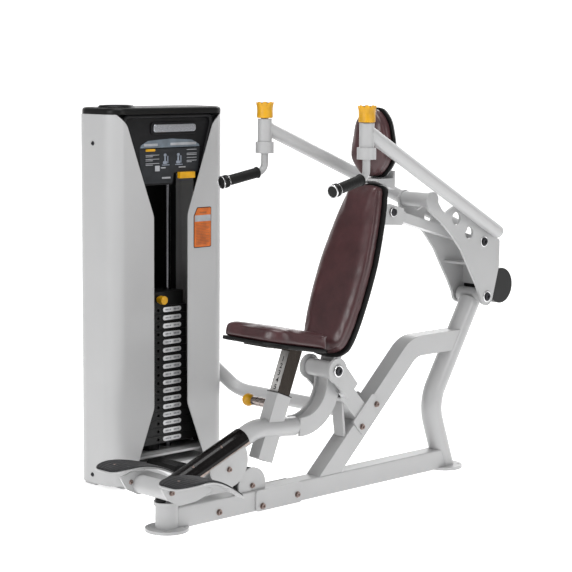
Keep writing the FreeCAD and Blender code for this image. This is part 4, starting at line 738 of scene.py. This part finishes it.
def seat_post_marks():
    """The numbered strip printed on the post's front face, and the sleeve's dark lip."""
    post = tipped((0.0, SLEEVE_Y, SLEEVE_Z), -POST_TILT)
    front = post @ tipped((0.0, -POST_HALF_DEPTH, 0.0), 90.0)
    strip = oblong(-0.0180, 0.0180, 0.006, 0.150, 0.002)
    slab("number_strip", [strip], FILM, "brushed_post", "seat", front, "strip_grey")
    for number in range(5):
        spot = Matrix.Translation((0.0, 0.120 - 0.0245 * number, 0.0001))
        lettering("number_%d" % (number + 1), str(number + 1), 0.024, front @ spot, "seat")
    lip = rounded([(-0.0265, -0.0355), (0.0265, -0.0355), (0.0265, 0.0355), (-0.0265, 0.0355)],
                  [0.003] * 4)
    hole = rounded([(-0.0203, -0.0293), (0.0203, -0.0293), (0.0203, 0.0293), (-0.0203, 0.0293)],
                   [0.003] * 4)
    rings = [[Vector((spot.x, spot.y, height)) for spot in loop]
             for loop, height in ((lip, 0.0042), (lip, 0.0072), (hole, 0.0072), (hole, 0.0042))]
    points, faces = skin(rings, True)
    make("sleeve_collar", points, faces, "black_plastic", "carriage", post)


def pull_pin_cover():
    """Grooved chrome cover over the pull pin's barrel, its colour darkened and browned as a painted
    dark reflection.
    """
    tilt = math.radians(POST_TILT)
    along, up = -0.004, -0.034
    y = SLEEVE_Y + along * math.cos(tilt) + up * math.sin(tilt)
    z = SLEEVE_Z - along * math.sin(tilt) + up * math.cos(tilt)
    profile = [(0.0, 0.0127), (0.0, 0.0150), (0.002, 0.0158)]
    for groove in range(3):
        start = 0.012 + 0.022 * groove
        profile += [(start, 0.0158), (start + 0.001, 0.0148), (start + 0.003, 0.0148),
                    (start + 0.004, 0.0158)]
    profile += [(0.0800, 0.0158), (0.0825, 0.0146), (0.0832, 0.0127)]
    turned("pin_barrel_cover", profile, "chrome", "carriage", aimed((-0.0242, y, z), (-1, 0, 0)),
           closed=True, look="pin_chrome_painted_dark_reflection")


TUBE_START = Vector((0.0, 0.005, 0.128))
RISE = Vector((0.0, 0.375, 0.1455)).normalized()


def tube_trim():
    """A pale trim along each lower edge of the glossy tube cover, with two small screws."""
    over = RISE.cross(Vector((1, 0, 0))) * -1
    if over.z < 0:
        over = -over
    start = TUBE_START + RISE * 0.022 - over * 0.006
    for side, word in SIDES:
        place = Matrix((RISE, over, Vector((side, 0, 0)))).transposed().to_4x4()
        place.translation = start + Vector((side * 0.0353, 0, 0))
        strip = oblong(0.0, 0.318, -0.0065, 0.0005, 0.0012)
        slab("cover_trim_" + word, [strip], THIN, "gloss_cover", "carriage", place, "cover_trim")
    for number, forward in enumerate((0.105, 0.235)):
        middle = TUBE_START + RISE * forward
        outward = (over * 0.82 + Vector((0.57, 0, 0))).normalized()
        screw("cover_screw_%d" % number, middle + outward * 0.0357, outward, 0.0045, "carriage")


# ---- tower --------------------------------------------------------------------------------

PLATE_COUNT = 17
PLATE_PITCH = 0.0291
LOWEST_LABEL = 0.13605


def plates_labels():
    """A pale label with plain bars on every weight plate."""
    middles = [LOWEST_LABEL + PLATE_PITCH * number for number in range(PLATE_COUNT)]
    labels = [oblong(0.471, 0.556, middle - 0.0085, middle + 0.0085, 0.0084)
              for middle in middles]
    slab("plate_labels", labels, THIN, "header_plastic", "frame", tower_face(-0.573),
         "label_white")
    lines = []
    for middle in middles:
        for left, right in ((0.482, 0.497), (0.500, 0.508), (0.520, 0.534), (0.537, 0.545)):
            lines.append(oblong(left, right, middle - 0.0028, middle + 0.0028, 0.0012))
    slab("plate_label_bars", lines, THIN, "header_plastic", "frame", tower_face(-0.5721),
         "print_grey")


def header_card():
    """The instruction card: a dark sheet with a blue-grey title band and blank bars."""
    card = rounded([(0.332, 1.056), (0.472, 1.056), (0.478, 1.092), (0.590, 1.092), (0.600, 1.186),
                    (0.560, 1.205), (0.465, 1.211), (0.360, 1.205), (0.322, 1.186)],
                   [0.006, 0.006, 0.006, 0.008, 0.014, 0.03, 0.2, 0.03, 0.014])
    slab("card_sheet", [card], THIN, "header_plastic", "frame", tower_face(-0.5229), "card_dark")
    band = rounded([(0.3275, 1.177), (0.5965, 1.177), (0.598, 1.186), (0.560, 1.2035),
                    (0.465, 1.2095), (0.360, 1.2035), (0.3245, 1.186)],
                   [0.003, 0.003, 0.012, 0.03, 0.2, 0.03, 0.012])
    slab("card_band", [band], THIN, "header_plastic", "frame", tower_face(-0.5221), "card_band")
    print_face = tower_face(-0.5213)
    bars = [oblong(0.343, 0.404, 1.185, 1.194, 0.002), oblong(0.462, 0.581, 1.186, 1.195, 0.002)]
    for low in (1.153, 1.148, 1.139, 1.134, 1.124, 1.119):
        bars.append(oblong(0.350, 0.411 if low in (1.153, 1.139, 1.124) else 0.382, low,
                           low + 0.0022, 0.0008))
    for low in (1.168, 1.155, 1.150, 1.140, 1.130, 1.125):
        bars.append(oblong(0.537, 0.583 if low != 1.125 else 0.560, low, low + 0.0022, 0.0008))
    bars += [oblong(0.418, 0.440, 1.107, 1.111, 0.001), oblong(0.500, 0.531, 1.107, 1.111, 0.001),
             oblong(0.423, 0.462, 1.071, 1.077, 0.002), oblong(0.392, 0.413, 1.098, 1.117, 0.001)]
    slab("card_bars", bars, THIN, "header_plastic", "frame", print_face, "print_grey")
    slab("card_notice", [oblong(0.350, 0.393, 1.167, 1.1755, 0.003)], THIN, "yellow_plastic",
         "frame", print_face)
    figures = []
    for left in (0.424, 0.484):
        figures += [oblong(left, left + 0.034, 1.117, 1.120, 0.001),
                    oblong(left + 0.004, left + 0.022, 1.122, 1.132, 0.003),
                    oblong(left + 0.010, left + 0.017, 1.132, 1.148, 0.003),
                    oblong(left + 0.008, left + 0.020, 1.148, 1.158, 0.004),
                    oblong(left + 0.024, left + 0.028, 1.124, 1.150, 0.0015)]
    slab("card_figures", figures, THIN, "header_plastic", "frame", print_face, "figure_blue")


def header_surround():
    """The raised bezel round the header, a plain badge, and the shrouds' screws."""
    path = rounded([(0.322, 1.040), (0.2430, 1.262), (0.258, 1.2885), (0.642, 1.2885),
                    (0.6465, 1.262), (0.6041, 1.108)], [0.0001, 0.030, 0.020, 0.020, 0.030, 0.0001])
    bar("header_bezel", path, 0.0075, "header_plastic", "frame", tower_face(-0.5180))
    badge = [(0.0004, 0.0), (0.0, 0.0006), (0.0, 0.0045), (0.0014, 0.0060)]
    slab("header_badge_base", [oblong(0.372, 0.580, 1.224, 1.268, 0.015)], badge, "header_plastic",
         "frame", tower_face(-0.5229))
    slab("header_badge", [oblong(0.380, 0.572, 1.233, 1.260, 0.010)], badge, "bolt_steel", "frame",
         tower_face(-0.5174), "badge_silver")
    screw("shroud_screw_upper", (-0.607, 0.1891, 1.197), (0, -1, 0), 0.0075, "frame", "black_bolt")
    screw("shroud_screw_lower", (-0.620, 0.1891, 0.043), (0, -1, 0), 0.0075, "frame", "black_bolt")


def side_tag():
    """A plain orange tag with a dark rim on the rear shroud's front face."""
    rim = rounded([(0.554, 0.822), (0.636, 0.822), (0.636, 0.965), (0.570, 0.965), (0.554, 0.935)],
                  [0.006] * 5)
    slab("tag_rim", [rim], THIN, "black_plastic", "frame", tower_face(-0.5029))
    panel = rounded([(0.5565, 0.8245), (0.6335, 0.8245), (0.6335, 0.9625), (0.5710, 0.9625),
                     (0.5565, 0.9345)], [0.005] * 5)
    slab("tag_panel", [panel], THIN, "yellow_plastic", "frame", tower_face(-0.5021), "tag_orange")
    slab("tag_band", [oblong(0.5575, 0.6325, 0.915, 0.937, 0.001)], THIN, "header_plastic",
         "frame", tower_face(-0.5013), "print_grey")
    lines = [oblong(0.564, 0.627 if step % 3 else 0.610, 0.834 + 0.0055 * step,
                    0.8358 + 0.0055 * step, 0.0008) for step in range(14)]
    lines.append(oblong(0.580, 0.612, 0.943, 0.949, 0.001))
    slab("tag_bars", lines, THIN, "black_plastic", "frame", tower_face(-0.5013), "tag_print")


def tower_cap():
    """The moulded top: a domed lid with a rolled rim and an oval raised ring."""
    lid = oblong(-0.705, -0.500, 0.191, 0.709, 0.056)
    rings = [(0.002, 1.2955), (0.0, 1.2970), (0.0, 1.3080), (0.0012, 1.3130), (0.0050, 1.3165),
             (0.0110, 1.3180), (0.0150, 1.3160), (0.0190, 1.3155), (0.0500, 1.3185)]
    cap = slab("cap_lid", [lid], rings, "black_plastic", "frame", None)
    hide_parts("tower_top_cap")
    oval = Matrix.Translation((-0.600, 0.285, 1.316)) @ Matrix.Diagonal((0.9, 1.25, 1.0, 1.0))
    ring = [(-0.002, 0.040), (-0.002, 0.0560), (0.004, 0.0555), (0.0085, 0.0525), (0.0100, 0.0490),
            (0.0085, 0.0455), (0.002, 0.0425)]
    turned("cap_ring", ring, "black_plastic", "frame", oval, 72, closed=True)


upholstery()
foot_rests()
pivots()
link_caps()
knobs()
grips()
seat_post_marks()
pull_pin_cover()
tube_trim()
plates_labels()
header_card()
header_surround()
side_tag()
tower_cap()


# ---- stage, light and camera --------------------------------------------------------------

FLOOR_GLOW = 0.72
SURROUND_LIGHT = 0.34
SURROUND_SEEN = 1.0


def studio():
    """A plain pale floor that curves up behind and glows a little, in a plain white room.

    The room looks whiter to the camera than the light that it gives the object.
    """
    profile = [(-14.0, 0.0), (9.0, 0.0), (10.2, 0.12), (11.4, 0.6), (12.2, 1.4), (12.6, 2.6),
               (12.8, 9.0)]
    turn = Matrix.Rotation(math.radians(VIEW_AZIMUTH), 4, "Z")
    shape = bmesh.new()
    rows = []
    for along, up in profile:
        rows.append([shape.verts.new(turn @ Vector((across, along, up - 0.0005)))
                     for across in (-16.0, 16.0)])
    for first, second in zip(rows, rows[1:]):
        shape.faces.new((first[0], first[1], second[1], second[0]))
    mesh = bpy.data.meshes.new("floor")
    shape.to_mesh(mesh)
    shape.free()
    mesh.polygons.foreach_set("use_smooth", [True] * len(mesh.polygons))
    floor = bpy.data.objects.new("floor", mesh)
    bpy.context.scene.collection.objects.link(floor)
    look = Look("floor_paper")
    look.colour(look.ramp(look.noise(3.0, 4.0), [(0.4, (0.88, 0.88, 0.88)), (0.6, (0.90, 0.90, 0.90))]))
    look.bump(look.noise(500.0, 3.0), 0.0001, 0.1)
    look.set(Roughness=0.9, Emission_Color=(1.0, 1.0, 1.0, 1.0), Emission_Strength=FLOOR_GLOW)
    floor.data.materials.append(look.material)

    world = bpy.data.worlds.new("studio")
    world.use_nodes = True
    tree = world.node_tree
    dim = tree.nodes["Background"]
    bright = tree.nodes.new("ShaderNodeBackground")
    for background, strength in ((dim, SURROUND_LIGHT), (bright, SURROUND_SEEN)):
        background.inputs["Color"].default_value = (1.0, 1.0, 1.0, 1.0)
        background.inputs["Strength"].default_value = strength
    choice = tree.nodes.new("ShaderNodeMixShader")
    path = tree.nodes.new("ShaderNodeLightPath")
    tree.links.new(path.outputs["Is Camera Ray"], choice.inputs[0])
    tree.links.new(dim.outputs[0], choice.inputs[1])
    tree.links.new(bright.outputs[0], choice.inputs[2])
    tree.links.new(choice.outputs[0], tree.nodes["World Output"].inputs["Surface"])
    bpy.context.scene.world = world
    bpy.context.scene.view_settings.view_transform = "Standard"


def soft_light(name, spot, aim, size, power):
    """A large area light aimed at a point."""
    data = bpy.data.lights.new(name, "AREA")
    data.shape = "RECTANGLE"
    data.size, data.size_y = size
    data.energy = power
    light = bpy.data.objects.new(name, data)
    light.location = spot
    light.rotation_euler = (Vector(aim) - Vector(spot)).to_track_quat("-Z", "Y").to_euler()
    bpy.context.scene.collection.objects.link(light)


VIEW_AZIMUTH = 45.71
VIEW_PITCH = 7.25
VIEW_ROLL = 0.43
FRAME_WIDTH = 572
FOCAL_LENGTH = 1815
CAMERA_SPOT = (4.2857, -3.6606, 1.5)


def camera():
    """The photograph's viewpoint: a long lens, nearly level, from the user's front left."""
    turn, dip, roll = (math.radians(value) for value in (VIEW_AZIMUTH, VIEW_PITCH, VIEW_ROLL))
    ahead = Vector((-math.sin(turn) * math.cos(dip), math.cos(turn) * math.cos(dip), -math.sin(dip)))
    level = Vector((math.cos(turn), math.sin(turn), 0.0))
    up = level.cross(ahead)
    right = level * math.cos(roll) + up * math.sin(roll)
    top = up * math.cos(roll) - level * math.sin(roll)
    data = bpy.data.cameras.new("camera")
    data.sensor_width = 36.0
    data.lens = data.sensor_width * FOCAL_LENGTH / FRAME_WIDTH
    data.clip_end = 60.0
    seen = bpy.data.objects.new("camera", data)
    bpy.context.scene.collection.objects.link(seen)
    pose = Matrix((right, top, -ahead)).transposed().to_4x4()
    pose.translation = CAMERA_SPOT
    seen.matrix_world = pose
    bpy.context.scene.camera = seen


studio()
camera()
soft_light("overhead", (0.6, 0.2, 4.6), (-0.1, 0.7, 0.6), (2.6, 2.6), 110.0)
soft_light("left", (5.2, 1.4, 2.4), (0.0, 0.9, 0.6), (1.2, 2.6), 44.0)
soft_light("front", (0.4, -5.0, 2.6), (0.0, 0.6, 0.7), (2.2, 1.6), 96.0)
soft_light("rear", (-2.5, 5.0, 3.5), (0.0, 0.8, 0.8), (2.0, 2.0), 60.0)
